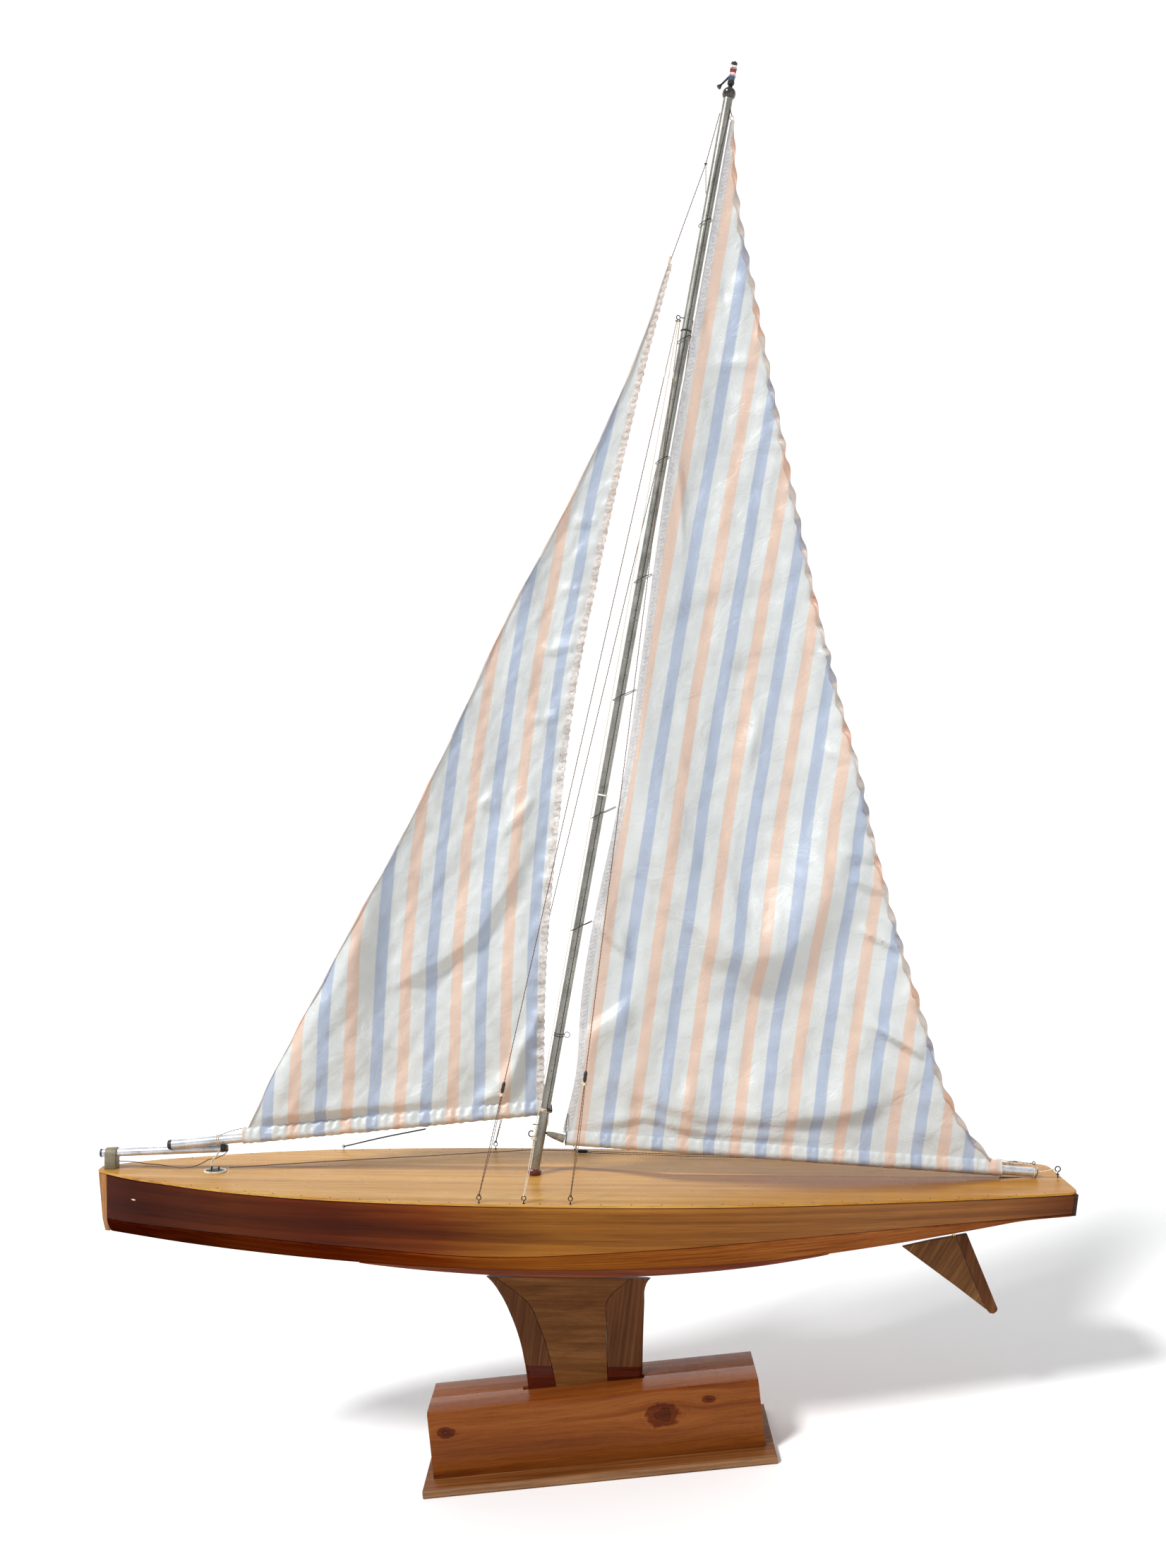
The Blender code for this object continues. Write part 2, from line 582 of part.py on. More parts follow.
def make_shrouds(yacht, looks):
    """Three shrouds a side, each with its bowsie, and the chainplate eyes below them."""
    for side_word, side in (("port", -1), ("starboard", 1)):
        for word, x in CHAINPLATES.items():
            foot = Vector((x, side * CHAINPLATE_Y, sheer(x) + GAP))
            screw_eye(f"chainplate_eye_{side_word}_{word}", foot, (0.0, 0.0, 1.0), (1.0, 0.0, 0.0),
                      looks["wire"], yacht)
            low = foot + Vector((0.0, -side * 0.0004, 0.0035 + 2 * EYE_RADIUS + EYE_WIRE + SHROUD_RADIUS))
            high = hound_point(side_word, word)
            middle = (BOWSIE_HEIGHTS[word] - low.z) / (high.z - low.z)
            half = BOWSIE_HALF_LENGTH / (high - low).length
            fat = BOWSIE_RADIUS / SHROUD_RADIUS
            steps = [(0.0, 1.0), (middle - half, 1.0), (middle - 0.8 * half, fat),
                     (middle + 0.8 * half, fat), (middle + half, 1.0), (1.0, 1.0)]
            wire(f"shroud_{side_word}_{word}", [low.lerp(high, part) for part, _ in steps], SHROUD_RADIUS,
                 looks["cord_brown"], yacht, thickness=[size for _, size in steps])


# ---------------------------------------------------------------- sails and booms

def sail_solid(name, surface, columns, rows, look, parent):
    """A thin closed solid on both sides of a sail's middle surface."""
    work = bmesh.new()
    layers = []
    for shift in (-SAIL_THICKNESS / 2, SAIL_THICKNESS / 2):
        layers.append([[work.verts.new(surface(u / columns, v / rows) + Vector((0.0, shift, 0.0)))
                        for u in range(columns + 1)] for v in range(rows + 1)])
    for layer in layers:
        for v in range(rows):
            for u in range(columns):
                work.faces.new((layer[v][u], layer[v][u + 1], layer[v + 1][u + 1], layer[v + 1][u]))
    near, far = layers
    for v in range(rows):
        for u in (0, columns):
            work.faces.new((near[v][u], near[v + 1][u], far[v + 1][u], far[v][u]))
    for u in range(columns):
        for v in (0, rows):
            work.faces.new((near[v][u], near[v][u + 1], far[v][u + 1], far[v][u]))
    return finish_mesh(name, work, look, parent)


main_gap = fair_curve(MAIN_GAP)
main_leech = fair_curve(MAIN_LEECH)
jib_luff = fair_curve(JIB_LUFF)
jib_leech = fair_curve(JIB_LEECH)


def main_luff(z):
    """Luff of the mainsail, a gap behind the mast."""
    return mast_back(z) + main_gap(z)


def belly(across, up, chord):
    """Fullness of a sail: none at the edges, most a little ahead of the middle."""
    return chord * sin(pi * across ** 0.8) * min(1.0, 4 * up) ** 0.7


def main_surface(across, up):
    """Middle surface of the mainsail, over its boom."""
    above = BOOM_RADIUS + 4 * GAP
    foot_luff = line_at(MAIN_BOOM, main_luff(0.054)) + above
    foot_leech = line_at(MAIN_BOOM, main_leech(0.018)) + above
    luff_z = foot_luff + (MAIN_HEAD_Z - foot_luff) * up
    leech_z = foot_leech + (MAIN_HEAD_Z - foot_leech) * up
    start = Vector((main_luff(luff_z), 0.0, luff_z))
    end = Vector((main_leech(leech_z), 0.0, leech_z))
    point = start.lerp(end, across)
    point.y = MAIN_CAMBER * belly(across, up, (end - start).length)
    return point


def jib_stay_x(z):
    """The jib's swing axis, from its pivot to the masthead."""
    part = (z - JIB_PIVOT[2]) / (JIB_HALYARD_TOP[2] - JIB_PIVOT[2])
    return JIB_PIVOT[0] + (JIB_HALYARD_TOP[0] - JIB_PIVOT[0]) * part


def jib_y(x, z):
    """The plane of the jib at rest, through its swing axis and its boom."""
    part = (z - JIB_PIVOT[2]) / (JIB_HALYARD_TOP[2] - JIB_PIVOT[2])
    fore, aft = JIB_BOOM
    swing = (aft[1] - JIB_PIVOT[1]) / (aft[0] - jib_stay_x(aft[2]))
    return JIB_PIVOT[1] * (1 - part) + swing * (x - jib_stay_x(z))


def jib_surface(across, up):
    """Middle surface of the jib, over its boom."""
    fore, aft = JIB_BOOM
    ends = ((fore[0], fore[2]), (aft[0], aft[2]))
    above = JIB_BOOM_RADIUS + 4 * GAP
    foot_luff = line_at(ends, jib_luff(0.053)) + above
    foot_leech = line_at(ends, jib_leech(0.088)) + above
    luff_z = foot_luff + (JIB_HEAD_Z - foot_luff) * up
    leech_z = foot_leech + (JIB_HEAD_Z - foot_leech) * up
    start = Vector((jib_luff(luff_z), 0.0, luff_z))
    end = Vector((jib_leech(leech_z), 0.0, leech_z))
    point = start.lerp(end, across)
    point.y = jib_y(point.x, point.z) + JIB_CAMBER * belly(across, up, (end - start).length)
    return point


def hoop_points(height, climb):
    """One wire hoop round the mast, from the luff and back to it a little higher."""
    tip_x = main_luff(height) - HOOP_CLEARANCE
    centre = Vector((mast_x(height), 0.0, height))
    tip = Vector((tip_x, 0.0, height + (tip_x - centre.x) * tan(HOOP_TILT)))
    along, across = HOOP_SEMI_AXES
    points = [tip]
    for step in range(9):
        angle = radians(50 + step * 260 / 8)
        points.append(centre + Vector((along * cos(angle) * cos(HOOP_TILT), across * sin(angle),
                                       along * cos(angle) * sin(HOOP_TILT) + climb * step / 8)))
    return points + [tip + Vector((0.0, 0.0, climb))]


def make_main(boom, looks):
    """Main boom, its tapered gooseneck plug, the luff hoops and the mainsail."""
    (x0, z0), (x1, z1) = MAIN_BOOM
    start, end = Vector((x0, 0.0, z0)), Vector((x1, 0.0, z1))
    along = (end - start).normalized()
    pipe("main_boom_tube", start, end, BOOM_RADIUS, BOOM_RADIUS - TUBE_WALL, looks["mast_metal"], boom)
    nose = mast_back(GOOSENECK_Z) + 4 * GAP
    tip = Vector((nose, 0.0, GOOSENECK_Z - 0.0006))
    shoulder = start - along * GAP
    _, side, other = cross_frame(along)
    rings = []
    for part, radius in ((0.0, 0.0026), (0.3, 0.0040), (1.0, 0.0056)):
        centre = tip.lerp(shoulder, part)
        rings.append([centre + (side * cos(2 * pi * i / 16) + other * sin(2 * pi * i / 16)) * radius
                      for i in range(16)])
    loft("gooseneck_plug", rings, looks["plug_grey"], boom)
    route = []
    for height in HOOP_HEIGHTS:
        route += hoop_points(height, 0.0016)
    wire("luff_hoops", route, 0.0004, looks["wire"], boom)
    sail_solid("mainsail", main_surface, 12, 20, looks["sail_cloth"], boom)


def make_jib(boom, looks):
    """Jib boom, jib, and the halyard from the jib's head to the masthead."""
    fore, aft = Vector(JIB_BOOM[0]), Vector(JIB_BOOM[1])
    pipe("jib_boom_tube", fore, aft, JIB_BOOM_RADIUS, JIB_BOOM_RADIUS - TUBE_WALL, looks["mast_metal"], boom)
    sail_solid("jib", jib_surface, 10, 20, looks["sail_cloth"], boom)
    head = jib_surface(0.0, 1.0)
    top = Vector(JIB_HALYARD_TOP) - Vector((2 * GAP, 0.0, 0.0))
    wire("jib_halyard", [head + Vector((0.0004, 0.0, 0.0018)), Vector((0.7956, 0.0, 1.3396)), top], 0.0006,
         looks["cord_brown"], boom)


# ---------------------------------------------------------------- bow and deck fittings

def make_bow(yacht, looks):
    """Saddle, bow tube with its plug, the jib's deck plate and pivot hook."""
    (x0, z0), (x1, z1) = BOW_TUBE
    base = sheer(SADDLE[0]) + GAP

    def saddle_ring(x):
        crown = z0 + (z1 - z0) * (x - x0) / (x1 - x0)
        arc = [(x, SADDLE_HALF_WIDTH * cos(pi * i / 8), crown + 0.0070 * sin(pi * i / 8)) for i in range(9)]
        return [(x, SADDLE_HALF_WIDTH, base)] + arc + [(x, -SADDLE_HALF_WIDTH, base)]

    saddle = loft("bow_saddle", [saddle_ring(x) for x in SADDLE], looks["saddle_grey"], yacht)
    bore = turned("saddle_bore", [(0.0, BOW_TUBE_RADIUS + GAP), (0.04, BOW_TUBE_RADIUS + GAP)],
                  (x0 - 0.005, 0.0, z0 - 0.005 * (z1 - z0) / (x1 - x0)), (x1 - x0, 0.0, z1 - z0), None, yacht)
    cut(saddle, bore)
    end = Vector((x1, 0.0, z1))
    along = (end - Vector((x0, 0.0, z0))).normalized()
    pipe("bow_tube", (x0, 0.0, z0), end, BOW_TUBE_RADIUS, BOW_TUBE_RADIUS - TUBE_WALL, looks["tube_metal"],
         yacht)
    turned("bow_tube_plug", [(-0.008, BOW_TUBE_RADIUS - TUBE_WALL - GAP), (GAP, 0.0039), (GAP, 0.0051),
                             (0.0026, 0.0048), (0.0034, 0.0036)], end, along, looks["black_gloss"], yacht)
    centre = Vector((0.155, -0.009, sheer(0.155) + GAP))
    rings = []
    for height, scale in ((0.0, 1.0), (0.0012, 1.0), (0.0018, 0.9)):
        rings.append([centre + Vector((0.014 * scale * cos(2 * pi * i / 20),
                                       0.011 * scale * sin(2 * pi * i / 20), height)) for i in range(20)])
    loft("jib_deck_plate", rings, looks["dark_metal"], yacht)
    hook = [(0.1500, -0.0060, 0.0052), (0.1500, -0.0060, 0.0085), (0.1488, -0.0050, 0.0118),
            (0.1500, -0.0042, 0.0148), (0.1535, -0.0060, 0.0190), (0.1580, -0.0085, 0.0250),
            (0.1615, -0.0098, 0.0320)]
    wire("jib_pivot_hook", hook, 0.0009, looks["cream_metal"], yacht)


def make_cords(yacht, looks):
    """The sheets, the line along the deck and the loose lashing at the bow."""
    eye_x = 1.2645
    screw_eye("stern_eye", (eye_x, 0.0, sheer(eye_x) + GAP), (0.0, 0.0, 1.0), (1.0, 0.0, 0.0), looks["wire"],
              yacht, shank=0.0076, radius=0.0034, thick=0.0008)
    wire("mainsheet", [(1.2360, 0.0, 0.0098), (1.2480, 0.0, 0.0112), (1.2598, 0.0, 0.0139)], 0.0009,
         looks["cord_cream"], yacht)
    wire("jib_sheet", [(0.4304, 0.0107, 0.0592), (0.3655, 0.0640, 0.0310), (0.3015, 0.1165, 0.0045)], 0.0006,
         looks["cord_black"], yacht)
    deck_line = [(0.1710, 0.0010, 1.0), (0.3000, 0.0410, 1.0), (0.4400, 0.0790, 1.0), (0.5650, 0.1135, 1.0),
                 (0.6300, 0.1105, 1.0), (0.6320, 0.1104, 3.6), (0.6450, 0.1096, 3.6), (0.6470, 0.1095, 1.0),
                 (0.7700, 0.0980, 1.0), (1.0100, 0.0795, 1.0), (1.2150, 0.0645, 1.0), (1.2170, 0.0643, 3.6),
                 (1.2310, 0.0630, 3.6), (1.2330, 0.0628, 1.0), (1.2500, 0.0600, 1.0)]
    wire("deck_line", [(x, y, sheer(x) + 0.0030) for x, y, _ in deck_line], 0.0006, looks["cord_brown"],
         yacht, thickness=[size for _, _, size in deck_line])
    wire("bow_cord", smooth_route(BOW_CORD, 56), 0.0006, looks["cord_brown"], yacht)


BOW_CORD = [(0.1674, 0.0010, 0.0248), (0.1645, 0.0006, 0.0222), (0.1575, 0.0002, 0.0186),
            (0.1510, 0.0006, 0.0160), (0.1440, 0.0035, 0.0148), (0.1345, 0.0065, 0.0092),
            (0.1222, 0.0045, 0.0044), (0.1085, -0.0010, 0.0040), (0.0893, 0.0068, 0.0040),
            (0.0708, 0.0142, 0.0041), (0.0554, 0.0155, 0.0046), (0.0440, 0.0105, 0.0078),
            (0.0330, 0.0040, 0.0106), (0.0229, 0.0010, 0.0118)]


# ---------------------------------------------------------------- stand

def make_stand(looks):
    """A base plate with two lengths of stud timber on it, side by side, slotted for the fin."""
    half_length, half_width = PLATE_LENGTH / 2, PLATE_WIDTH / 2
    plate_edge = 0.003
    outline = [(-half_width, 0.0), (half_width, 0.0), (half_width, PLATE_HEIGHT - plate_edge)]
    outline += [(half_width - plate_edge, PLATE_HEIGHT), (-half_width + plate_edge, PLATE_HEIGHT),
                (-half_width, PLATE_HEIGHT - plate_edge)]
    plate = loft("stand_base_plate", [[(STAND_X + end * half_length, y, z) for y, z in outline]
                                      for end in (-1, 1)], looks["oak"], None)
    for word, side in (("port", -1), ("starboard", 1)):
        inner, outer = side * GAP / 2, side * STAND_WIDTH / 2
        low, high = PLATE_HEIGHT + GAP, STAND_TOP
        ease = side * EASED_EDGE
        ring = [(inner, low), (outer, low), (outer, high - EASED_EDGE),
                (outer - ease * 0.3, high - EASED_EDGE * 0.3), (outer - ease, high), (inner, high)]
        block = loft(f"stand_block_{word}", [[(STAND_X + end * STAND_LENGTH / 2, y, z) for y, z in ring]
                                             for end in (-1, 1)], looks["pine"], None)
        cut(block, slot_cutter(f"slot_{word}"))
        screw_x = STAND_X + side * 0.16
        screw_y = side * STAND_WIDTH / 4
        cut(block, turned(f"pilot_{word}", [(0.0, SCREW_RADIUS + GAP), (0.034, SCREW_RADIUS + GAP)],
                          (screw_x, screw_y, 0.0), (0.0, 0.0, 1.0), None, None, sides=12))
        sink_radius, bore_radius = SCREW_HEAD_RADIUS + 2 * GAP, SCREW_RADIUS + GAP
        sink = [(-0.004, sink_radius), (0.0036, sink_radius), (0.0036, bore_radius), (0.02, bore_radius)]
        cut(plate, turned(f"sink_{word}", sink, (screw_x, screw_y, 0.0), (0.0, 0.0, 1.0), None, None, sides=12))
        turned(f"stand_screw_{word}", [(0.001, SCREW_HEAD_RADIUS), (0.0036 - GAP, SCREW_HEAD_RADIUS),
                                       (0.0036 - GAP, SCREW_RADIUS), (0.032, SCREW_RADIUS * 0.7)],
               (screw_x, screw_y, 0.0), (0.0, 0.0, 1.0), looks["steel"], None, sides=12)


def slot_cutter(name):
    """The fin's slot: its foot's outline, a clearance wider all round and open upwards."""
    fore = min(x for _, x in FIN_LEADING[5:]) - 0.002
    aft = max(x for _, x in FIN_TRAILING[4:]) + 0.002
    floor = FIN_FOOT - GAP
    half = FIN_HALF_THICKNESS + SLOT_CLEARANCE
    outline = [(fore, floor), (aft, floor), (aft, FIN_FOOT + 0.12), (fore, FIN_FOOT + 0.12)]
    return board(name, outline, None, bpy.data.objects["yacht"], half=half)


# ---------------------------------------------------------------- assembly

def make_looks():
    """Every material, by the name that its pieces use."""
    return {
        "side_wood": material("side_wood", (0.23, 0.075, 0.030), 0.35),
        "bottom_wood": material("bottom_wood", (0.30, 0.13, 0.05), 0.4),
        "deck_wood": material("deck_wood", (0.62, 0.36, 0.15), 0.3),
        "stem_wood": material("stem_wood", (0.33, 0.17, 0.06), 0.4),
        "transom_wood": material("transom_wood", (0.05, 0.035, 0.03), 0.4),
        "keel_wood": material("keel_wood", (0.28, 0.08, 0.04), 0.4),
        "ply": material("ply", (0.6, 0.45, 0.28), 0.6),
        "fin_edge_wood": material("fin_edge_wood", (0.30, 0.09, 0.04), 0.4),
        "fin_core_wood": material("fin_core_wood", (0.35, 0.14, 0.05), 0.4),
        "lead": material("lead", (0.2, 0.2, 0.22), 0.5, 1.0),
        "brass": material("brass", (0.7, 0.5, 0.2), 0.35, 1.0),
        "mast_metal": material("mast_metal", (0.62, 0.63, 0.66), 0.3, 1.0),
        "tube_metal": material("tube_metal", (0.62, 0.63, 0.66), 0.3, 1.0),
        "collar_red": material("collar_red", (0.15, 0.02, 0.02), 0.4),
        "black_gloss": material("black_gloss", (0.02, 0.02, 0.02), 0.2),
        "wire": material("wire", (0.05, 0.05, 0.05), 0.4, 1.0),
        "pennant_cloth": material("pennant_cloth", (0.75, 0.55, 0.55), 0.7),
        "cord_brown": material("cord_brown", (0.35, 0.22, 0.14), 0.8),
        "cord_black": material("cord_black", (0.03, 0.03, 0.03), 0.8),
        "cord_cream": material("cord_cream", (0.8, 0.72, 0.58), 0.8),
        "plug_grey": material("plug_grey", (0.35, 0.30, 0.25), 0.5),
        "sail_cloth": material("sail_cloth", (0.75, 0.74, 0.72), 0.6),
        "saddle_grey": material("saddle_grey", (0.30, 0.29, 0.20), 0.5),
        "dark_metal": material("dark_metal", (0.06, 0.05, 0.04), 0.4, 1.0),
        "cream_metal": material("cream_metal", (0.8, 0.76, 0.68), 0.3),
        "oak": material("oak", (0.28, 0.17, 0.08), 0.5),
        "pine": material("pine", (0.62, 0.30, 0.08), 0.35),
        "steel": material("steel", (0.5, 0.5, 0.5), 0.3, 1.0),
    }


def main():
    """Clear the scene and build the yacht over its stand."""
    for item in list(bpy.data.objects):
        bpy.data.objects.remove(item)
    looks = make_looks()
    yacht = empty("yacht", (YACHT_X, 0.0, YACHT_Z), rotation=(0.0, PITCH, 0.0))
    main_boom = empty("main_boom", (MAST_FOOT_X, 0.0, 0.0), yacht)
    jib_boom = empty("jib_boom", JIB_PIVOT, yacht)
    rudder = empty("rudder", rudder_axis()[0], yacht)
    pennant = empty("pennant_pivot", (mast_x(MAST_TOP_Z), 0.0, MAST_TOP_Z), yacht)
    make_stand(looks)
    make_hull(yacht, looks)
    make_mast_step(yacht, looks)
    make_fin(yacht, looks)
    make_rudder(yacht, rudder, looks)
    make_mast(yacht, looks)
    make_pennant(yacht, pennant, looks)
    make_shrouds(yacht, looks)
    make_main(main_boom, looks)
    make_jib(jib_boom, looks)
    make_bow(yacht, looks)
    make_cords(yacht, looks)


main()
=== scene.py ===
"""Looks of a free-sailing wooden pond yacht in its display stand.

Every piece is drawn in the yacht's own frame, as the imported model's pieces were:
x = 0 at the bow and growing aft, y to starboard, z = 0 at the lowest point of the
deck's sheer. The stand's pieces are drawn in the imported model's frame.
"""
import json
from math import cos, pi, radians, sin, sqrt, tan

import bmesh
import bpy
import numpy as np
from mathutils import Matrix, Vector, noise


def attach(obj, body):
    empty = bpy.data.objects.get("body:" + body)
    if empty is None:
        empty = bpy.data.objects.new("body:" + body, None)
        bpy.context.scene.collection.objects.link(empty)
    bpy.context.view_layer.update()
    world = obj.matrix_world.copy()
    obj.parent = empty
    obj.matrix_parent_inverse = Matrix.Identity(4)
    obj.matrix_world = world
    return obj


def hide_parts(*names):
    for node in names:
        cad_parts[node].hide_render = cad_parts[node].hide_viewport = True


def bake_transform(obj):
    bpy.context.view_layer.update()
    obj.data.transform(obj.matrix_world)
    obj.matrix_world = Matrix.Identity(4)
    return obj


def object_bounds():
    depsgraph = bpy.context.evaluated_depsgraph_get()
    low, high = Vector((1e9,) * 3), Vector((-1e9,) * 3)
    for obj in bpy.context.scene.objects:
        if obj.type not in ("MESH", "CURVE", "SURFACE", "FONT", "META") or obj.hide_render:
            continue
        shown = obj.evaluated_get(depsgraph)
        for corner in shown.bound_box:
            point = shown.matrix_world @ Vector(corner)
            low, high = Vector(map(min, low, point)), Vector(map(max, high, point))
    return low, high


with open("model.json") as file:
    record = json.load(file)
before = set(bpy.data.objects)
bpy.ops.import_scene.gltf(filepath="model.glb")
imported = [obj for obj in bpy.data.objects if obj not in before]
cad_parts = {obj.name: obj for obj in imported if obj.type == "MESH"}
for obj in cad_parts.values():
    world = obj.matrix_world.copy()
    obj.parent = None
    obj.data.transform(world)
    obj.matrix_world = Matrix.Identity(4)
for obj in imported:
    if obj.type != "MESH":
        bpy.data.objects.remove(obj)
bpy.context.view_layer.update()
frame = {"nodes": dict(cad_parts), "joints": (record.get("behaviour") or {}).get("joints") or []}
scene = bpy.context.scene
nodes = frame["nodes"]
joints = {joint["name"]: joint for joint in frame["joints"]}

# ---------------------------------------------------------------- the yacht's frame and its numbers

GAP = 0.0003
PANEL = 0.003
DECK = 0.003
LENGTH = 1.27
SHEER_RISE = 0.003
CHINE_FRACTION = 0.85
STEM_DEPTH = 0.0795
STEM_WIDTH = 0.0145
STEM_RAKE = 0.007
TRANSOM = 0.006
HALF_BREADTH = [(0.0, 0.0105), (0.036, 0.0325), (0.0655, 0.0475), (0.1016, 0.0611), (0.1585, 0.0825),
                (0.254, 0.1075), (0.4445, 0.131), (0.635, 0.1361), (0.8255, 0.1292), (1.016, 0.1076),
                (1.168, 0.0852), (1.27, 0.067)]
CHINE_DEPTH = [(0.0, 0.0622), (0.2, 0.0618), (0.3465, 0.067), (0.528, 0.0748), (0.7, 0.0665),
               (0.91, 0.0507), (1.053, 0.0409), (1.27, 0.03)]
KEEL_DEPTH = [(0.0, 0.0785), (0.116, 0.0958), (0.28, 0.1135), (0.46, 0.1247), (0.6, 0.1275),
              (0.738, 0.124), (0.868, 0.1135), (1.035, 0.0892), (1.16, 0.066), (1.27, 0.0435)]
BATTEN = (0.345, 0.965)
BATTEN_DEPTH = 0.0056
BATTEN_HALF_WIDTH = 0.0065
FIN_TOP, FIN_WOOD_FOOT, FIN_FOOT = -0.1348, -0.295, -0.34
FIN_VARNISH_TOP = -0.2475
FIN_HALF_THICKNESS, FIN_EDGE_HALF_THICKNESS = 0.004, 0.0014
FIN_LEADING = [(FIN_TOP, 0.5136), (-0.1411, 0.5202), (-0.1595, 0.5334), (-0.1882, 0.5476),
               (-0.2141, 0.5571), (-0.2503, 0.5657), (-0.295, 0.5718), (-0.34, 0.577)]
FIN_LEADING_SEAM = [(FIN_TOP, 0.5265), (-0.1693, 0.5702), (-0.1943, 0.5826), (-0.2332, 0.5964),
                    (-0.2749, 0.606), (-0.295, 0.609)]
FIN_TRAILING_SEAM = [(FIN_TOP, 0.7035), (-0.1597, 0.6761), (-0.1969, 0.6735), (-0.2684, 0.6749),
                     (-0.295, 0.676)]
FIN_TRAILING = [(FIN_TOP, 0.7309), (-0.1386, 0.7272), (-0.148, 0.7235), (-0.1675, 0.7227),
                (-0.2195, 0.7211), (-0.265, 0.7205), (-0.295, 0.7203), (-0.34, 0.7195)]
RUDDER_HALF_THICKNESS = 0.0032
MAST_FOOT_X, MAST_RAKE, MAST_TOP_Z, MAST_RADIUS, TUBE_WALL = 0.5754, 0.1748, 1.4258, 0.0063, 0.001
HOUND_Z = 1.134
HOUND_EYES = {"port": (radians(197), 0.0045), "starboard": (radians(62), 0.0026)}
FINIAL_HEIGHT = 0.0505
GOOSENECK_Z = 0.0553
MAIN_BOOM = ((0.6162, 0.0472), (1.2352, 0.0098))
BOOM_RADIUS = 0.006
MAIN_GAP = [(0.05, 0.022), (0.133, 0.026), (0.226, 0.016), (0.568, 0.018), (0.6935, 0.013),
            (0.8076, 0.0082), (0.922, 0.0038), (1.119, 0.0034), (1.4, 0.0028)]
MAIN_LEECH = [(0.016, 1.186), (0.05, 1.155), (0.106, 1.1212), (0.1985, 1.0903), (0.374, 1.0386),
              (0.549, 0.996), (0.7355, 0.9487), (0.932, 0.9068), (1.172, 0.859), (1.296, 0.8369),
              (1.4, 0.832)]
MAIN_HEAD_Z, MAIN_CAMBER = 1.3965, 0.045
HOOP_HEIGHTS = (0.326, 0.475, 0.631, 0.787, 0.945, 1.105, 1.26)
HOOP_TILT = radians(25)
HOOP_CLEARANCE = 0.0011
HOOP_SEMI_AXES = (0.0102, 0.0086)
JIB_BOOM = ((0.0968, -0.0082, 0.0367), (0.5936, 0.02, 0.0828))
JIB_BOOM_RADIUS = 0.0061
JIB_PIVOT = (0.165, -0.0043, 0.037)
JIB_HALYARD_TOP = (0.8143, 0.0, 1.407)
JIB_LUFF = [(0.0504, 0.1927), (0.15, 0.2409), (0.3069, 0.3234), (0.4215, 0.3855), (0.5989, 0.4724),
            (0.7236, 0.5288), (0.911, 0.6269), (1.109, 0.7137), (1.211, 0.7477)]
JIB_LEECH = [(0.082, 0.586), (0.2855, 0.5897), (0.464, 0.6048), (0.652, 0.6282), (0.8085, 0.6583),
             (0.975, 0.6939), (1.141, 0.734), (1.207, 0.7515)]
JIB_HEAD_Z, JIB_CAMBER = 1.207, 0.05
BOW_TUBE = ((0.0, 0.0225), (0.1664, 0.0306))
BOW_TUBE_RADIUS = 0.00525
SADDLE, SADDLE_HALF_WIDTH = (0.0072, 0.0222), 0.0082
CHAINPLATES = {"fore": 0.5148, "middle": 0.57, "aft": 0.6273}
CHAINPLATE_Y = 0.1303
EYE_RADIUS, EYE_WIRE, SHROUD_RADIUS = 0.0026, 0.00065, 0.0006
BOWSIE_HEIGHTS = {"fore": 0.139, "middle": 0.087, "aft": 0.153}
STAND_X = -0.01013
STAND_LENGTH, STAND_WIDTH, STAND_TOP = 0.429, 0.0943, 0.0945
PLATE_LENGTH, PLATE_WIDTH, PLATE_HEIGHT = 0.4515, 0.154, 0.0094

SIDES = (("port", -1), ("starboard", 1))
UPWARD, AFTWARD, ABEAM = (0.0, 0.0, 1.0), (1.0, 0.0, 0.0), (0.0, 1.0, 0.0)
STRANDS_WIDE, STRANDS_FLAT = 1.12, 0.72
BEVEL_FROM = radians(28)

UP = Vector(joints["lift_out"]["axis"]).normalized()
AFT = Vector((UP.z, 0.0, -UP.x))
YACHT = Matrix((AFT, Vector(ABEAM), UP)).transposed().to_4x4()
YACHT.translation = Vector(joints["main_boom_swing"]["pos_m"]) - AFT * MAST_FOOT_X
WORLD = Matrix.Identity(4)


def fair_curve(points):
    """A smooth function through (place, value) points, for numbers and arrays."""
    places, values = np.array(sorted(points)).T
    slopes = np.gradient(values, places)

    def value(place):
        place = np.asarray(place, float)
        i = np.clip(np.searchsorted(places, place) - 1, 0, len(places) - 2)
        span = places[i + 1] - places[i]
        t = (place - places[i]) / span
        start = (1 + 2 * t) * (1 - t) ** 2 * values[i] + t * (1 - t) ** 2 * span * slopes[i]
        end = t * t * (3 - 2 * t) * values[i + 1] - t * t * (1 - t) * span * slopes[i + 1]
        total = start + end
        return total if total.ndim else float(total)

    return value


def smooth_route(points, steps):
    """Evenly stepped points on a smooth curve through a cord's own points."""
    knots = [0.0]
    for a, b in zip(points, points[1:]):
        knots.append(knots[-1] + (Vector(b) - Vector(a)).length)
    axes = [fair_curve([(k, p[i]) for k, p in zip(knots, points)]) for i in range(3)]
    return [Vector([axis(knots[-1] * s / steps) for axis in axes]) for s in range(steps + 1)]


def straight(start, end, step=0.0013):
    """Evenly stepped points on a straight line."""
    start, end = Vector(start), Vector(end)
    count = max(2, round((end - start).length / step))
    return [start.lerp(end, i / count) for i in range(count + 1)]


def spaced(first, last, count):
    """Evenly spaced numbers, both ends among them."""
    return [first + (last - first) * i / (count - 1) for i in range(count)]


def line_at(ends, place):
    """Height of a straight line through two (place, height) ends."""
    (x0, z0), (x1, z1) = ends
    return z0 + (z1 - z0) * (place - x0) / (x1 - x0)


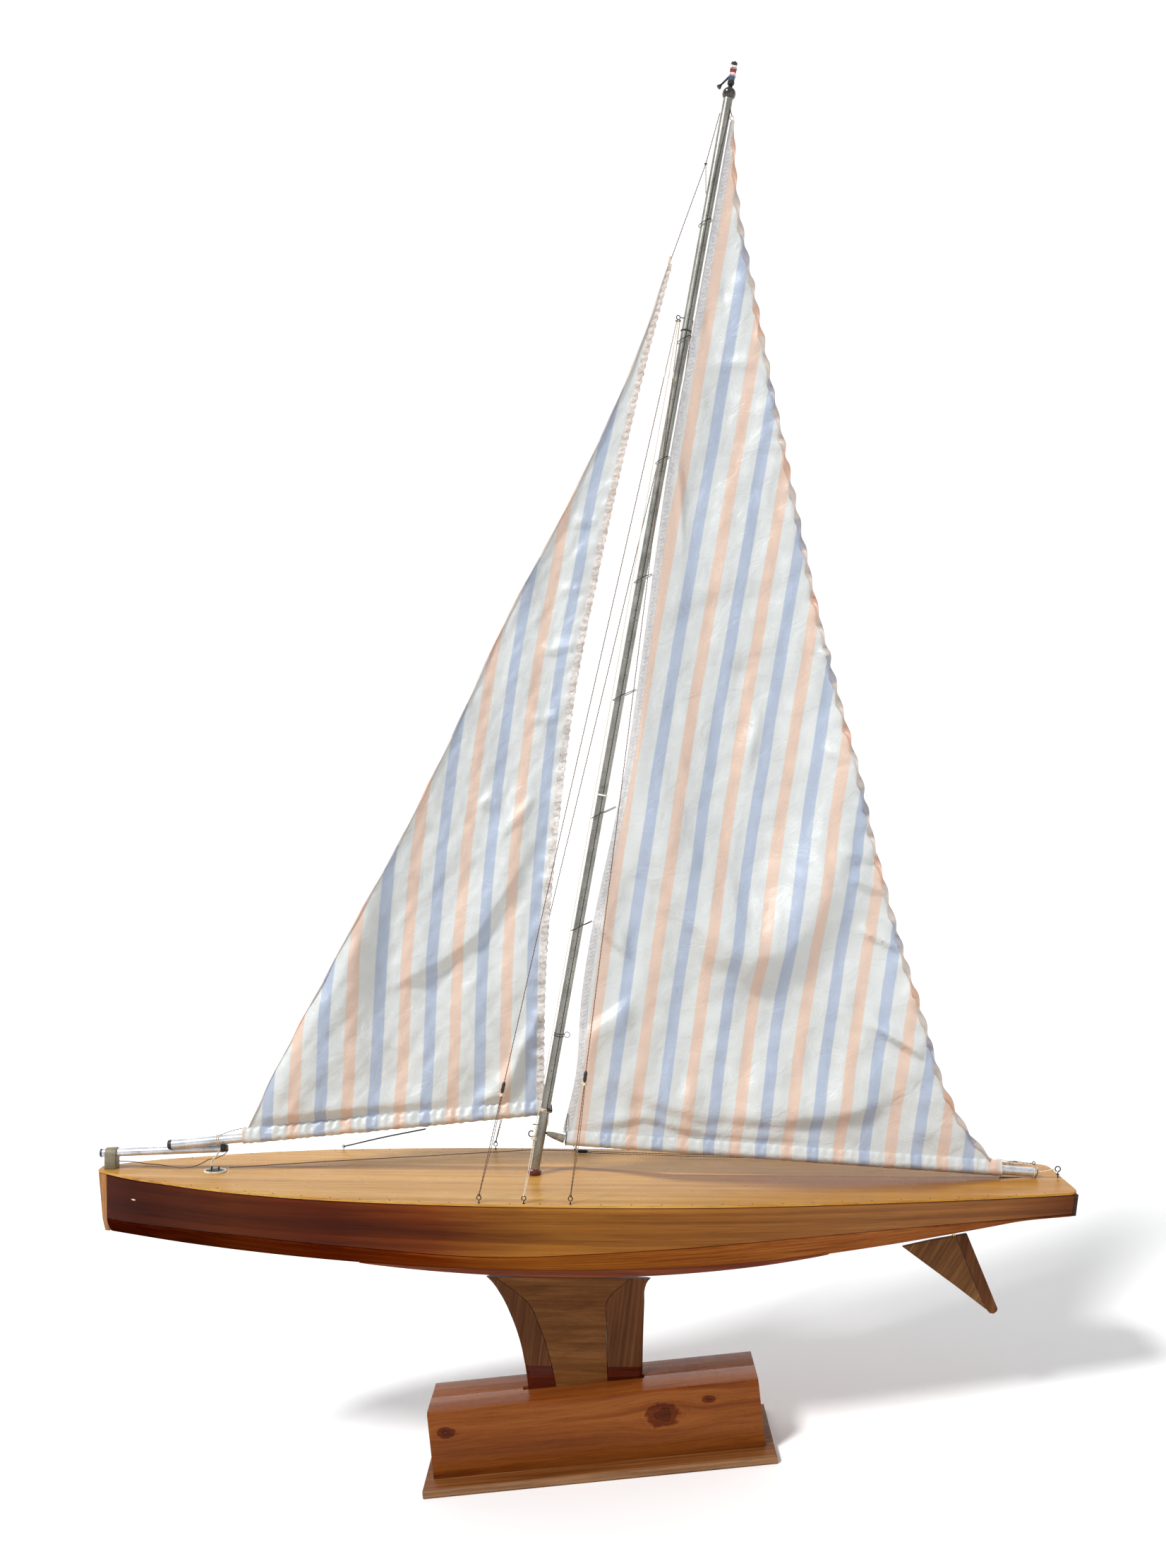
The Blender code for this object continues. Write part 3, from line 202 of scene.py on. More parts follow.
half_breadth = fair_curve(HALF_BREADTH)
chine_depth = fair_curve(CHINE_DEPTH)
keel_depth = fair_curve(KEEL_DEPTH)
main_gap = fair_curve(MAIN_GAP)
main_leech = fair_curve(MAIN_LEECH)
jib_luff = fair_curve(JIB_LUFF)
jib_leech = fair_curve(JIB_LEECH)


def sheer(x):
    """Deck edge height."""
    return SHEER_RISE * (2 * x / LENGTH - 1) ** 2


def mast_x(z):
    """Mast axis at a height."""
    return MAST_FOOT_X + MAST_RAKE * z


def main_luff(z):
    """Luff of the mainsail, a gap behind the mast."""
    return mast_x(z) + MAST_RADIUS * sqrt(1 + MAST_RAKE ** 2) + main_gap(z)


# ---------------------------------------------------------------- camera

CAMERA_PLACE = (0.09137, -1.83954, 0.86517)
CAMERA_TURN, CAMERA_LIFT, CAMERA_ROLL = 0.015877, 0.007894, -0.107905
CAMERA_LENS = 42.922

camera = bpy.data.objects.new("camera", bpy.data.cameras.new("camera"))
camera.data.sensor_fit = "HORIZONTAL"
camera.data.sensor_width = 36.0
camera.data.lens = CAMERA_LENS
camera.data.clip_start = 0.05
camera.data.clip_end = 200.0
aim = Matrix.Rotation(CAMERA_TURN, 3, "Z") @ Matrix.Rotation(CAMERA_LIFT, 3, "X")
level, ahead, upright = aim.col[0], aim.col[1], aim.col[2]
right = cos(CAMERA_ROLL) * level + sin(CAMERA_ROLL) * upright
top = cos(CAMERA_ROLL) * upright - sin(CAMERA_ROLL) * level
pose = Matrix((right, top, -ahead)).transposed().to_4x4()
pose.translation = CAMERA_PLACE
camera.matrix_world = pose
scene.collection.objects.link(camera)
scene.camera = camera


# ---------------------------------------------------------------- building meshes

class Build:
    """Collects the points and faces of one piece; lay holds a surface place for its material."""

    def __init__(self, at=YACHT):
        self.at, self.points, self.faces, self.index, self.lay, self.looks = at, [], [], [], [], []

    def grid(self, rows, look, lay=None, closed=True, around=False, caps=False):
        """Skin equal rows of points."""
        start, count = len(self.points), len(rows[0])
        if look not in self.looks:
            self.looks.append(look)
        which = self.looks.index(look)
        for r, row in enumerate(rows):
            self.points += [tuple(point) for point in row]
            self.lay += [tuple(place) for place in lay[r]] if lay is not None else [None] * count
        runs = [(r, r + 1) for r in range(len(rows) - 1)] + ([(len(rows) - 1, 0)] if around else [])
        for a, b in runs:
            for c in range(count if closed else count - 1):
                d = (c + 1) % count
                self.faces.append((start + a * count + c, start + a * count + d,
                                   start + b * count + d, start + b * count + c))
        if caps:
            last = start + (len(rows) - 1) * count
            self.faces += [tuple(range(start + count - 1, start - 1, -1)), tuple(range(last, last + count))]
        self.index += [which] * (len(self.faces) - len(self.index))

    def tube(self, route, radius, look, sides=8, flat=1.0, twist=0.0, lay=None):
        """A tube along a route; flat squashes its section and twist turns it by that much a metre."""
        route = [Vector(point) for point in route]
        rows, places, side, distance = [], [], None, 0.0
        for i, point in enumerate(route):
            along = (route[min(i + 1, len(route) - 1)] - route[max(i - 1, 0)]).normalized()
            side = along.orthogonal() if side is None else side - along * side.dot(along)
            side.normalize()
            other = along.cross(side)
            distance += (point - route[i - 1]).length if i else 0.0
            size = radius[i] if hasattr(radius, "__len__") else radius
            a = side * cos(twist * distance) + other * sin(twist * distance)
            b = (other * cos(twist * distance) - side * sin(twist * distance)) * flat
            rows.append([point + (a * cos(2 * pi * k / sides) + b * sin(2 * pi * k / sides)) * size
                         for k in range(sides)])
            places.append([lay[i] if lay else (distance, k / sides, 0.0) for k in range(sides)])
        self.grid(rows, look, places, caps=True)

    def rope(self, route, radius, look, pitch=0.0045, sides=6):
        """A two-strand twisted cord: a flat tube as wide as both strands, turned half round each pitch."""
        self.tube(route, radius * STRANDS_WIDE, look, sides, flat=STRANDS_FLAT, twist=pi / pitch)

    def lathe(self, profile, base, direction, look, sides=28, around=False, wobble=0.0):
        """A turned shape: profile holds (distance along the axis, radius)."""
        along = Vector(direction).normalized()
        side = along.orthogonal() if abs(along.y) > 0.1 else along.cross(Vector(ABEAM))
        side.normalize()
        other = along.cross(side)
        rows, places = [], []
        for distance, size in profile:
            centre = Vector(base) + along * distance
            row = []
            for k in range(sides):
                angle = 2 * pi * k / sides
                swell = 1 + wobble * noise.noise(Vector((cos(angle) * 2, sin(angle) * 2, distance * 400)))
                row.append(centre + (side * cos(angle) + other * sin(angle)) * size * swell)
            rows.append(row)
            places.append([(distance, k / sides, size) for k in range(sides)])
        self.grid(rows, look, places, around=around, caps=not around)

    def pipe(self, start, end, outer, inner, look, sides=32, rings=8):
        """A straight tube with open ends and eased rims."""
        reach = (Vector(end) - Vector(start)).length
        ease = 0.25 * (outer - inner)
        profile = [(0.0, inner), (0.0, outer - ease), (ease, outer)]
        profile += [(reach * i / rings, outer) for i in range(1, rings)]
        profile += [(reach - ease, outer), (reach, outer - ease), (reach, inner)]
        profile += [(reach * i / rings, inner) for i in range(rings - 1, 0, -1)]
        self.lathe(profile, start, Vector(end) - Vector(start), look, sides, around=True)

    def run(self, points, steps, radius, look, *more):
        """A twisted cord on a smooth curve through its own points."""
        self.rope(smooth_route(points, steps), radius, look, *more)

    def knot(self, centre, radius, look, seed=0):
        """A small overhand knot: a turned-in loop of cord."""
        turns = [Vector((sin(t) + 2 * sin(2 * t), cos(t) - 2 * cos(2 * t), -sin(3 * t) * 1.2)) * radius * 0.3
                 for t in (2 * pi * i / 30 + seed for i in range(31))]
        self.tube([Vector(centre) + point for point in turns], radius * 0.36, look, 7)

    def ring(self, centre, radius, thick, look, axis=UPWARD, flatten=1.0, steps=28):
        """A closed wire ring."""
        along = Vector(axis).normalized()
        side = along.orthogonal().normalized()
        other = along.cross(side)
        self.tube([Vector(centre) + side * cos(2 * pi * i / steps) * radius
                   + other * sin(2 * pi * i / steps) * radius * flatten for i in range(steps + 1)],
                  thick, look, 8)

    def finish(self, name, body, replaces=(), sharp=38, bevel=0.0):
        """Make the object, give it its materials, set its body, and hide the nodes that it stands for."""
        mesh = bpy.data.meshes.new(name)
        mesh.from_pydata(self.points, [], self.faces)
        for look in self.looks:
            mesh.materials.append(look)
        mesh.polygons.foreach_set("material_index", self.index)
        work = bmesh.new()
        work.from_mesh(mesh)
        bmesh.ops.recalc_face_normals(work, faces=work.faces)
        if bevel:
            edges = [e for e in work.edges if len(e.link_faces) == 2 and e.calc_face_angle(0.0) > BEVEL_FROM]
            bmesh.ops.bevel(work, geom=edges, offset=bevel, segments=3, profile=0.5, affect="EDGES",
                            clamp_overlap=True)
        work.to_mesh(mesh)
        work.free()
        own = np.array([vertex.co for vertex in mesh.vertices]).reshape(-1, 3)
        if not bevel:
            own = np.array([o if place is None else place for place, o in zip(self.lay, own)])
        layer = mesh.attributes.new("lay", "FLOAT_VECTOR", "POINT")
        layer.data.foreach_set("vector", own.astype(np.float32).ravel())
        mesh.transform(self.at)
        mesh.shade_smooth()
        mesh.set_sharp_from_angle(angle=radians(sharp))
        made = bpy.data.objects.new(name, mesh)
        scene.collection.objects.link(made)
        if body:
            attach(made, body)
        if replaces:
            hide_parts(*replaces)
        return made


# ---------------------------------------------------------------- materials

def tone(red, green, blue, light=1.0):
    """A display colour, 0 to 255, as the linear colour that the shader takes."""
    return tuple(light * (c / 255 / 12.92 if c < 11 else ((c / 255 + 0.055) / 1.055) ** 2.4)
                 for c in (red, green, blue)) + (1.0,)


def shaded(colour, part, least=0.0):
    """A linear colour made darker or lighter."""
    return tuple(min(1.0, c * part + least) for c in colour[:3]) + (1.0,)


class Look:
    """One Principled material; fixed values go on the shader's own sockets."""

    def __init__(self, name, **fixed):
        self.material = bpy.data.materials.new(name)
        self.material.use_nodes = True
        self.tree = self.material.node_tree
        self.shader = self.tree.nodes["Principled BSDF"]
        for key, value in fixed.items():
            self.shader.inputs[key.replace("_", " ")].default_value = value

    def put(self, value, socket):
        if isinstance(value, bpy.types.NodeSocket):
            self.tree.links.new(value, socket)
        else:
            socket.default_value = value

    def node(self, kind, sockets, out=0, **settings):
        made = self.tree.nodes.new("ShaderNode" + kind)
        for key, value in settings.items():
            setattr(made, key, value)
        for key, value in sockets.items():
            self.put(value, made.inputs[key])
        return made.outputs[out]

    def calc(self, operation, *values):
        return self.node("Math", dict(enumerate(values)), operation=operation)

    def plus(self, *values):
        return self.calc("ADD", *values)

    def minus(self, *values):
        return self.calc("SUBTRACT", *values)

    def times(self, *values):
        return self.calc("MULTIPLY", *values)

    def over(self, *values):
        return self.calc("DIVIDE", *values)

    def space(self, operation, first, second):
        return self.node("VectorMath", {0: first, 1: second}, operation=operation)

    def length(self, vector):
        return self.node("VectorMath", {0: vector}, 1, operation="LENGTH")

    def remap(self, value, low, high, to_low=0.0, to_high=1.0, **settings):
        return self.node("MapRange", {0: value, 1: low, 2: high, 3: to_low, 4: to_high}, **settings)

    def spread(self, value, low, high):
        """A 0 to 1 value spread over a range, such as an uneven gloss."""
        return self.remap(value, 0.0, 1.0, low, high)

    def lay(self):
        """The surface place that the mesh carries."""
        return self.node("Attribute", {}, 1, attribute_name="lay")

    def own(self):
        return self.node("TexCoord", {}, 3)

    def split(self, vector, axis):
        return self.node("SeparateXYZ", {0: vector}, axis)

    def stretch(self, vector, scale, turn=(0.0, 0.0, 0.0)):
        return self.node("Mapping", {0: vector, 2: turn, 3: scale})

    def cloud(self, vector, scale, detail=3.0, rough=0.55, distort=0.0):
        return self.node("TexNoise", {"Vector": vector, "Scale": scale, "Detail": detail,
                                      "Roughness": rough, "Distortion": distort})

    def ramp(self, value, stops):
        """Colours or greys by value: stops holds (place, colour)."""
        out = self.node("ValToRGB", {0: value})
        band = out.node.color_ramp
        while len(band.elements) < len(stops):
            band.elements.new(0.5)
        for element, (place, colour) in zip(band.elements, stops):
            element.position = place
            element.color = colour if hasattr(colour, "__len__") else (colour, colour, colour, 1.0)
        return out

    def mix(self, part, first, second, blend="MIX"):
        return self.node("Mix", {0: part, 6: first, 7: second}, 2, data_type="RGBA", blend_type=blend)

    def bump(self, height, distance, strength=1.0, under=None):
        sockets = {"Height": height, "Distance": distance, "Strength": strength}
        if under is not None:
            sockets["Normal"] = under
        return self.node("Bump", sockets)

    def close(self, colour=None, roughness=None, normal=None, metallic=None):
        for name, value in (("Base Color", colour), ("Roughness", roughness), ("Normal", normal),
                            ("Metallic", metallic)):
            if value is not None:
                self.put(value, self.shader.inputs[name])
        return self.material


FIGURE_SHARE, GRADE_WANDER = 0.65, 0.06
PORE_DEPTH, BRUSH_DEPTH = 0.00012, 0.0006


def wood(name, dark, middle, light, along=1.6, across=42.0, turn=(0.0, 0.0, 0.0), rough=(0.26, 0.42),
         coat=0.03, by_x=None, own=False, edge=None, extra=None, shine=0.06):
    """Varnished wood from three display colours: a stretched figure, pores and brushed varnish.

    by_x grades it along the piece, extra bends the grain, and edge draws marks and painted shade over it.
    """
    look = Look(name, Coat_Weight=coat, Coat_Roughness=0.16, Specular_IOR_Level=shine)
    dark, middle, light = tone(*dark), tone(*middle), tone(*light)
    place = look.own() if own else look.lay()
    turned = look.stretch(place, (1.0, 1.0, 1.0), turn)
    if extra:
        turned = extra(look, turned)
    grain = lambda long, wide: look.stretch(turned, (along * long, across * wide, across * wide))
    figure = look.cloud(grain(1, 1), 1.0, 5.0, 0.6, 1.2)
    bands = look.cloud(grain(0.5, 3.5), 1.0, 3.0, 0.6, 0.4)
    pattern = look.plus(look.times(figure, FIGURE_SHARE), look.times(bands, 1 - FIGURE_SHARE))
    colour = look.ramp(pattern, [(0.3, dark), (0.48, middle), (0.66, light)])
    if by_x:
        length = look.over(look.split(place, 0), LENGTH)
        wander = look.plus(length, look.times(look.minus(figure, 0.5), GRADE_WANDER))
        colour = look.mix(1.0, look.ramp(wander, by_x), colour, "MULTIPLY")
    pores = look.cloud(grain(14, 26), 1.0, 2.0, 0.6)
    streaks = look.ramp(pores, [(0.36, 0.62), (0.47, 1.0)])
    colour = look.mix(0.75, colour, streaks, "MULTIPLY")
    if edge:
        colour = edge(look, place, colour)
    gloss = look.spread(look.cloud(place, 26.0, 4.0), *rough)
    ripple = look.bump(look.cloud(look.stretch(turned, (8.0, 60.0, 60.0)), 1.0, 2.0), BRUSH_DEPTH, 0.35)
    return look.close(colour, gloss, look.bump(pores, PORE_DEPTH, 0.5, ripple))


EULER = 2.718


def knots(places):
    """Bend and draw functions for pine's grain round its knots; places holds (x, z, size)."""
    def bend(look, vector):
        for x, z, size in places:
            offset = look.space("SUBTRACT", vector, (x, 0.0, z))
            flat = look.space("MULTIPLY", offset, (0.55, 0.0, 1.0))
            away = look.length(flat)
            near = look.calc("POWER", EULER, look.times(look.calc("POWER", away, 2.0), -0.5 / size ** 2))
            lift = look.times(look.split(offset, 2), look.times(near, -0.75))
            shift = look.node("CombineXYZ", {2: lift})
            vector = look.space("ADD", vector, shift)
        return vector

    def draw(look, place, colour):
        for x, z, size in places:
            offset = look.space("SUBTRACT", place, (x, 0.0, z))
            flat = look.space("MULTIPLY", offset, (0.62, 0.0, 1.0))
            away = look.length(flat)
            wobble = look.times(look.minus(look.cloud(place, 70.0, 4.0), 0.5), size * 0.9)
            away = look.over(look.plus(away, wobble), size)
            rings = look.times(look.calc("SINE", look.times(away, 16.0)), 0.12)
            shade = look.ramp(look.plus(away, rings),
                              [(0.0, tone(190, 150, 122)), (0.3, tone(120, 86, 68)),
                               (0.42, tone(178, 144, 118)),
                               (0.6, tone(176, 138, 112)), (0.8, tone(225, 208, 192)),
                               (1.0, (1.0, 1.0, 1.0, 1.0))])
            colour = look.mix(1.0, colour, shade, "MULTIPLY")
        return colour

    return bend, draw


def metal(name, colour, rough=0.34, metallic=1.0, streak=0.5, spots=None):
    """Drawn tube or wire: fine lines along it, tarnish and small spots."""
    look = Look(name, Metallic=metallic)
    place = look.own()
    lines = look.cloud(look.stretch(place, (900.0, 900.0, 6.0), (0.0, 0.0, 0.0)), 1.0, 2.0)
    cloud = look.cloud(place, 38.0, 5.0, 0.65)
    shade = look.ramp(cloud, [(0.3, shaded(colour, 0.62)), (0.55, colour), (0.75, shaded(colour, 1.15))])
    if spots:
        shade = look.mix(look.ramp(look.cloud(place, 420.0, 2.0), [(0.62, 0.0), (0.7, 1.0)]), shade, spots)
    gloss = look.spread(look.cloud(place, 90.0, 4.0), rough * 0.75, rough * 1.45)
    return look.close(shade, gloss, look.bump(lines, 0.00008, streak))


def cord_look(name, dark, light, turns=520.0):
    """Twisted cord: slanted strands and loose fibres."""
    look = Look(name, Roughness=0.86, Specular_IOR_Level=0.2, Sheen_Weight=0.15)
    place = look.lay()
    slant = look.plus(look.times(look.split(place, 0), turns), look.split(place, 1))
    strands = look.calc("PINGPONG", slant, 0.5)
    fibres = look.cloud(look.own(), 1900.0, 2.0)
    colour = look.ramp(look.plus(strands, look.times(fibres, 0.5)), [(0.15, dark), (0.75, light)])
    return look.close(colour, None, look.bump(look.plus(strands, fibres), 0.0002, 0.7))


def moulded(name, colour, rough=0.4, coat=0.0, grain=700.0, wear=None):
    """Paint or plastic with fine grain, uneven gloss and dust."""
    look = Look(name, Coat_Weight=coat)
    place = look.own()
    cloud = look.cloud(place, 60.0, 5.0, 0.6)
    shade = look.ramp(cloud, [(0.3, shaded(colour, 0.75)), (0.7, shaded(colour, 1.25, 0.004))])
    if wear:
        shade = look.mix(look.ramp(look.cloud(place, 230.0, 4.0), [(0.58, 0.0), (0.68, 0.8)]), shade, wear)
    gloss = look.spread(cloud, rough * 0.8, rough * 1.3)
    return look.close(shade, gloss, look.bump(look.cloud(place, grain, 2.0), PORE_DEPTH, 0.5))


STRIPE, STRIPE_EDGE = 0.219, 0.022
THREAD_PITCH, RIB_PITCH = 0.0006, 0.0009
CREAM, PEACH, BLUE = tone(204, 207, 205), tone(213, 187, 170), tone(167, 178, 196)


def sailcloth(name, sheen=0.15, rough=0.4, tint=None, crumple=1.0):
    """Striped cotton: lay holds the stripe number, the height and the distance across, in metres."""
    look = Look(name, Sheen_Weight=sheen, Sheen_Roughness=0.4, Specular_IOR_Level=0.6)
    place = look.lay()
    number, height, width = (look.split(place, axis) for axis in range(3))
    cloth = look.node("CombineXYZ", {0: width, 1: height})
    wander = look.times(look.minus(look.cloud(cloth, 9.0, 2.0), 0.5), 0.1)
    from_even = look.calc("PINGPONG", look.plus(number, wander), 1.0)
    from_odd = look.minus(1.0, from_even)
    threads = look.cloud(look.stretch(cloth, (260.0, 2200.0, 1.0)), 1.0, 2.0)
    fine = look.cloud(look.stretch(cloth, (2600.0, 240.0, 1.0)), 1.0, 2.0)
    slubs = look.plus(threads, fine)
    colour = CREAM
    for distance, paint in ((from_even, PEACH), (from_odd, BLUE)):
        mask = look.remap(distance, STRIPE - STRIPE_EDGE, STRIPE + STRIPE_EDGE, 1.0, 0.0)
        colour = look.mix(mask, colour, paint)
    colour = look.mix(0.55, colour, look.ramp(slubs, [(0.75, 0.86), (1.0, 1.0), (1.3, 1.0)]), "MULTIPLY")
    colour = look.mix(0.8, colour, look.ramp(look.cloud(cloth, 5.5, 5.0, 0.6), [(0.3, 0.9), (0.6, 1.0)]),
                      "MULTIPLY")
    stain = look.ramp(look.cloud(cloth, 120.0, 2.0), [(0.72, 1.0), (0.8, 0.8)])
    colour = look.mix(0.35, colour, stain, "MULTIPLY")
    if tint:
        colour = look.mix(1.0, colour, tint, "MULTIPLY")
    crease = look.bump(look.cloud(cloth, 34.0, 4.0, 0.6, 0.8), 0.0022, crumple)
    weave = look.plus(look.calc("SINE", look.times(width, 2 * pi / THREAD_PITCH)),
                      look.calc("SINE", look.times(height, 2 * pi / THREAD_PITCH)))
    normal = look.bump(look.plus(look.times(weave, 0.2), slubs), 0.0001, 0.6, crease)
    gloss = look.spread(look.cloud(cloth, 30.0, 3.0), rough * 0.85, rough * 1.2)
    return look.close(colour, gloss, normal)


def tape(name, dark, light, rough=0.5):
    """Narrow woven tape: crosswise ribs, thread noise and puckered shading."""
    look = Look(name, Sheen_Weight=0.3, Specular_IOR_Level=0.4)
    place = look.lay()
    ribs = look.calc("SINE", look.times(look.split(place, 1), 2 * pi / RIB_PITCH))
    cloud = look.cloud(look.own(), 150.0, 4.0)
    colour = look.ramp(look.plus(cloud, look.times(ribs, 0.06)), [(0.34, dark), (0.62, light)])
    gloss = look.spread(cloud, rough * 0.7, rough * 1.3)
    return look.close(colour, gloss, look.bump(look.plus(ribs, look.times(cloud, 5.0)), 0.00025, 0.6))


CHIP_PLACE, CHIP_SIZE = (0.0575, 0.0262, -1.0), (285.0, 900.0, 4.0)


def seam_shadow_and_chip(look, place, colour):
    """Painted shadow along the seam under the deck's edge, and a small chip in the port side near the bow."""
    below = look.split(place, 1)
    # painted shadow just under the deck's edge
    dark = look.remap(below, 0.0004, 0.0016, 0.25)
    colour = look.mix(1.0, colour, dark, "MULTIPLY")
    chip = look.space("SUBTRACT", place, CHIP_PLACE)
    away = look.length(look.stretch(chip, CHIP_SIZE))
    return look.mix(look.remap(away, 0.8, 1.0, 0.9, 0.0), colour, tone(224, 196, 168))


def deck_sail_shadow(look, place, colour):
    """Painted shadow of the sails: a darker band that crosses the deck from the bow to the port quarter; the
    deck is also made more golden towards the stern.
    """
    length, across = look.split(place, 0), look.split(place, 1)
    edge = look.ramp(look.over(length, LENGTH), [(0.06, 0.16), (0.3, 0.38), (0.5, 0.4), (0.6, 0.1),
                                                           (0.95, 0.04)])
    breadth = look.ramp(look.over(length, LENGTH), [(0.08, 0.2), (0.44, 0.28), (0.53, 0.16), (0.74, 0.86),
                                                              (0.86, 0.72), (0.96, 0.05)])
    wander = look.times(look.minus(look.cloud(look.stretch(place, (3.0, 14.0, 1.0)), 1.0, 3.0), 0.5), 0.02)
    below = look.minus(look.plus(look.times(edge, 0.1), wander), across)
    inside = look.remap(below, -0.001, 0.003, interpolation_type="SMOOTHSTEP")
    fade = look.remap(look.over(below, look.times(breadth, 0.1)), 0.45, 1.1, 1.0, 0.0,
                      interpolation_type="SMOOTHSTEP")
    # colour of the sails' painted shadow, browner towards the stern
    shade = look.ramp(look.over(length, LENGTH), [(0.45, (0.46, 0.4, 0.34, 1.0)),
                                                  (0.68, (0.42, 0.28, 0.12, 1.0))])
    gold = look.remap(length, 0.7, 0.95)
    colour = look.mix(gold, colour, (0.86, 0.76, 0.48, 1.0), "MULTIPLY")
    return look.mix(look.times(look.times(inside, fade), 0.92), colour, shade, "MULTIPLY")


BY_X = [(0.0, tone(98, 42, 20)), (0.05, tone(84, 33, 13)), (0.16, tone(120, 63, 27)),
        (0.26, tone(118, 54, 22)),
        (0.36, tone(160, 90, 38)), (0.47, tone(222, 168, 86)), (0.63, tone(214, 160, 94)),
        (0.8, tone(218, 170, 122)), (0.92, tone(196, 148, 106)), (1.0, tone(136, 84, 42))]
# the hull sides carry a painted shadow under the deck's edge
side_wood = wood("side_wood_visual", (118, 93, 72), (162, 136, 106), (198, 170, 132), 1.1, 46.0,
                 rough=(0.24, 0.4), coat=0.03, by_x=BY_X, edge=seam_shadow_and_chip)
bottom_wood = wood("bottom_wood_visual", (110, 76, 56), (162, 122, 94), (198, 164, 128), 1.3, 40.0,
                   coat=0.0, by_x=BY_X, shine=0.0)
# the deck carries a painted shadow of the sails
deck_wood = wood("deck_wood_visual", (149, 96, 38), (184, 135, 66), (200, 156, 87), 1.0, 30.0,
                 rough=(0.22, 0.36), coat=0.08, edge=deck_sail_shadow)
stem_wood = wood("stem_wood_visual", (112, 72, 38), (146, 98, 56), (176, 128, 80), 14.0, 60.0,
                 turn=(0.0, pi / 2, 0.0))
transom_wood = wood("transom_wood_visual", (40, 26, 20), (60, 40, 30), (84, 58, 42), 2.0, 60.0)
keel_wood = wood("keel_wood_visual", (84, 38, 24), (116, 58, 38), (146, 82, 54), 1.4, 60.0)
ply_wood = wood("ply_visual", (170, 130, 88), (198, 160, 112), (220, 188, 142), 5.0, 60.0, own=True,
                rough=(0.55, 0.75), coat=0.0)
fin_core_wood = wood("fin_core_visual", (84, 48, 20), (110, 68, 32), (134, 88, 48), 5.0, 70.0)
fin_edge_wood = wood("fin_edge_visual", (66, 34, 18), (94, 56, 30), (120, 76, 46), 3.0, 120.0,
                     turn=(0.0, pi / 2 - 0.12, 0.0))
rudder_wood = wood("rudder_visual", (84, 52, 28), (112, 74, 42), (138, 98, 60), 4.0, 90.0,
                   turn=(0.0, radians(58), 0.0))
fin_varnish = wood("fin_foot_varnish", (52, 14, 8), (74, 26, 14), (94, 38, 22), 3.0, 90.0,
                   rough=(0.16, 0.26), coat=0.12)
bend_grain, draw_knots = knots([(0.0784, 0.0623, 0.019), (-0.2035, 0.0671, 0.01), (0.1384, 0.076, 0.0065)])
pine_wood = wood("pine_visual", (92, 41, 12), (120, 63, 22), (138, 80, 34), 2.2, 52.0,
                 rough=(0.2, 0.34), coat=0.1, edge=draw_knots, extra=bend_grain)
oak_wood = wood("oak_visual", (76, 38, 14), (108, 62, 28), (138, 90, 50), 3.0, 90.0,
                rough=(0.3, 0.48), coat=0.04)
# lighter wood for the plate's rounded top edges
pale_oak_edge = wood("oak_pale_edge_visual", (96, 62, 38), (122, 86, 58), (146, 108, 76), 3.0, 90.0,
                rough=(0.34, 0.5), coat=0.04)
mast_metal = metal("mast_metal_visual", (0.33, 0.325, 0.29, 1.0), 0.36, 0.85, spots=(0.1, 0.09, 0.08, 1.0))
bright_tube = metal("bright_tube_visual", (0.74, 0.76, 0.82, 1.0), 0.32, 0.7, spots=(0.34, 0.33, 0.32, 1.0))
dark_wire = metal("wire_visual", (0.03, 0.027, 0.024, 1.0), 0.45, 0.6)
dark_metal = metal("dark_metal_visual", (0.035, 0.03, 0.026, 1.0), 0.45, 0.6)
lead = metal("lead_visual", (0.22, 0.22, 0.24, 1.0), 0.55, 0.9)
brass = metal("brass_visual", (0.68, 0.48, 0.2, 1.0), 0.32)
steel = metal("steel_visual", (0.55, 0.55, 0.56, 1.0), 0.3)
cord_brown = cord_look("cord_brown_visual", tone(62, 42, 30), tone(134, 100, 76))
cord_black = cord_look("cord_black_visual", tone(20, 19, 20), tone(62, 60, 60))
cord_cream = cord_look("cord_cream_visual", tone(176, 156, 128), tone(232, 218, 194))
thread = cord_look("thread_visual", tone(205, 203, 200), tone(246, 245, 242), 900.0)
collar_red = moulded("collar_red_visual", tone(96, 30, 26), 0.4, 0.2)
black_gloss = moulded("black_gloss_visual", tone(48, 41, 34), 0.22, 0.5)
black_plain = moulded("black_plain_visual", tone(28, 27, 27), 0.5)
plug_grey = moulded("plug_grey_visual", tone(128, 118, 104), 0.5, wear=tone(84, 74, 64))
saddle_grey = moulded("saddle_grey_visual", tone(126, 116, 94), 0.5, wear=tone(90, 80, 62))
cream_paint = moulded("cream_metal_visual", tone(214, 208, 194), 0.35, wear=tone(150, 136, 112))
white_tape = moulded("white_tape_visual", tone(226, 224, 216), 0.6)
sail_look = sailcloth("sail_cloth_visual")
sleeve_look = sailcloth("sail_sleeve_visual", 0.2, 0.34, crumple=0.9)
# the hem's pinkish tint is a painted shade of the rolled hem
hem_look = sailcloth("sail_hem_visual", 0.2, 0.42, tint=tone(232, 214, 205), crumple=0.8)
luff_tape_look = tape("luff_tape_visual", tone(198, 196, 197), tone(220, 218, 217))
leech_tape_look = tape("leech_tape_visual", tone(190, 178, 170), tone(230, 222, 216), 0.4)

for node, look in (("stand_screw_port", steel), ("stand_screw_starboard", steel), ("frame_fore", ply_wood),
                   ("frame_aft", ply_wood), ("mast_step", ply_wood), ("fin_ballast", lead),
                   ("rudder_stock", brass), ("rudder_tube", brass)):
    nodes[node].data.materials.clear()
    nodes[node].data.materials.append(look)


# ---------------------------------------------------------------- the loose cord at the bow

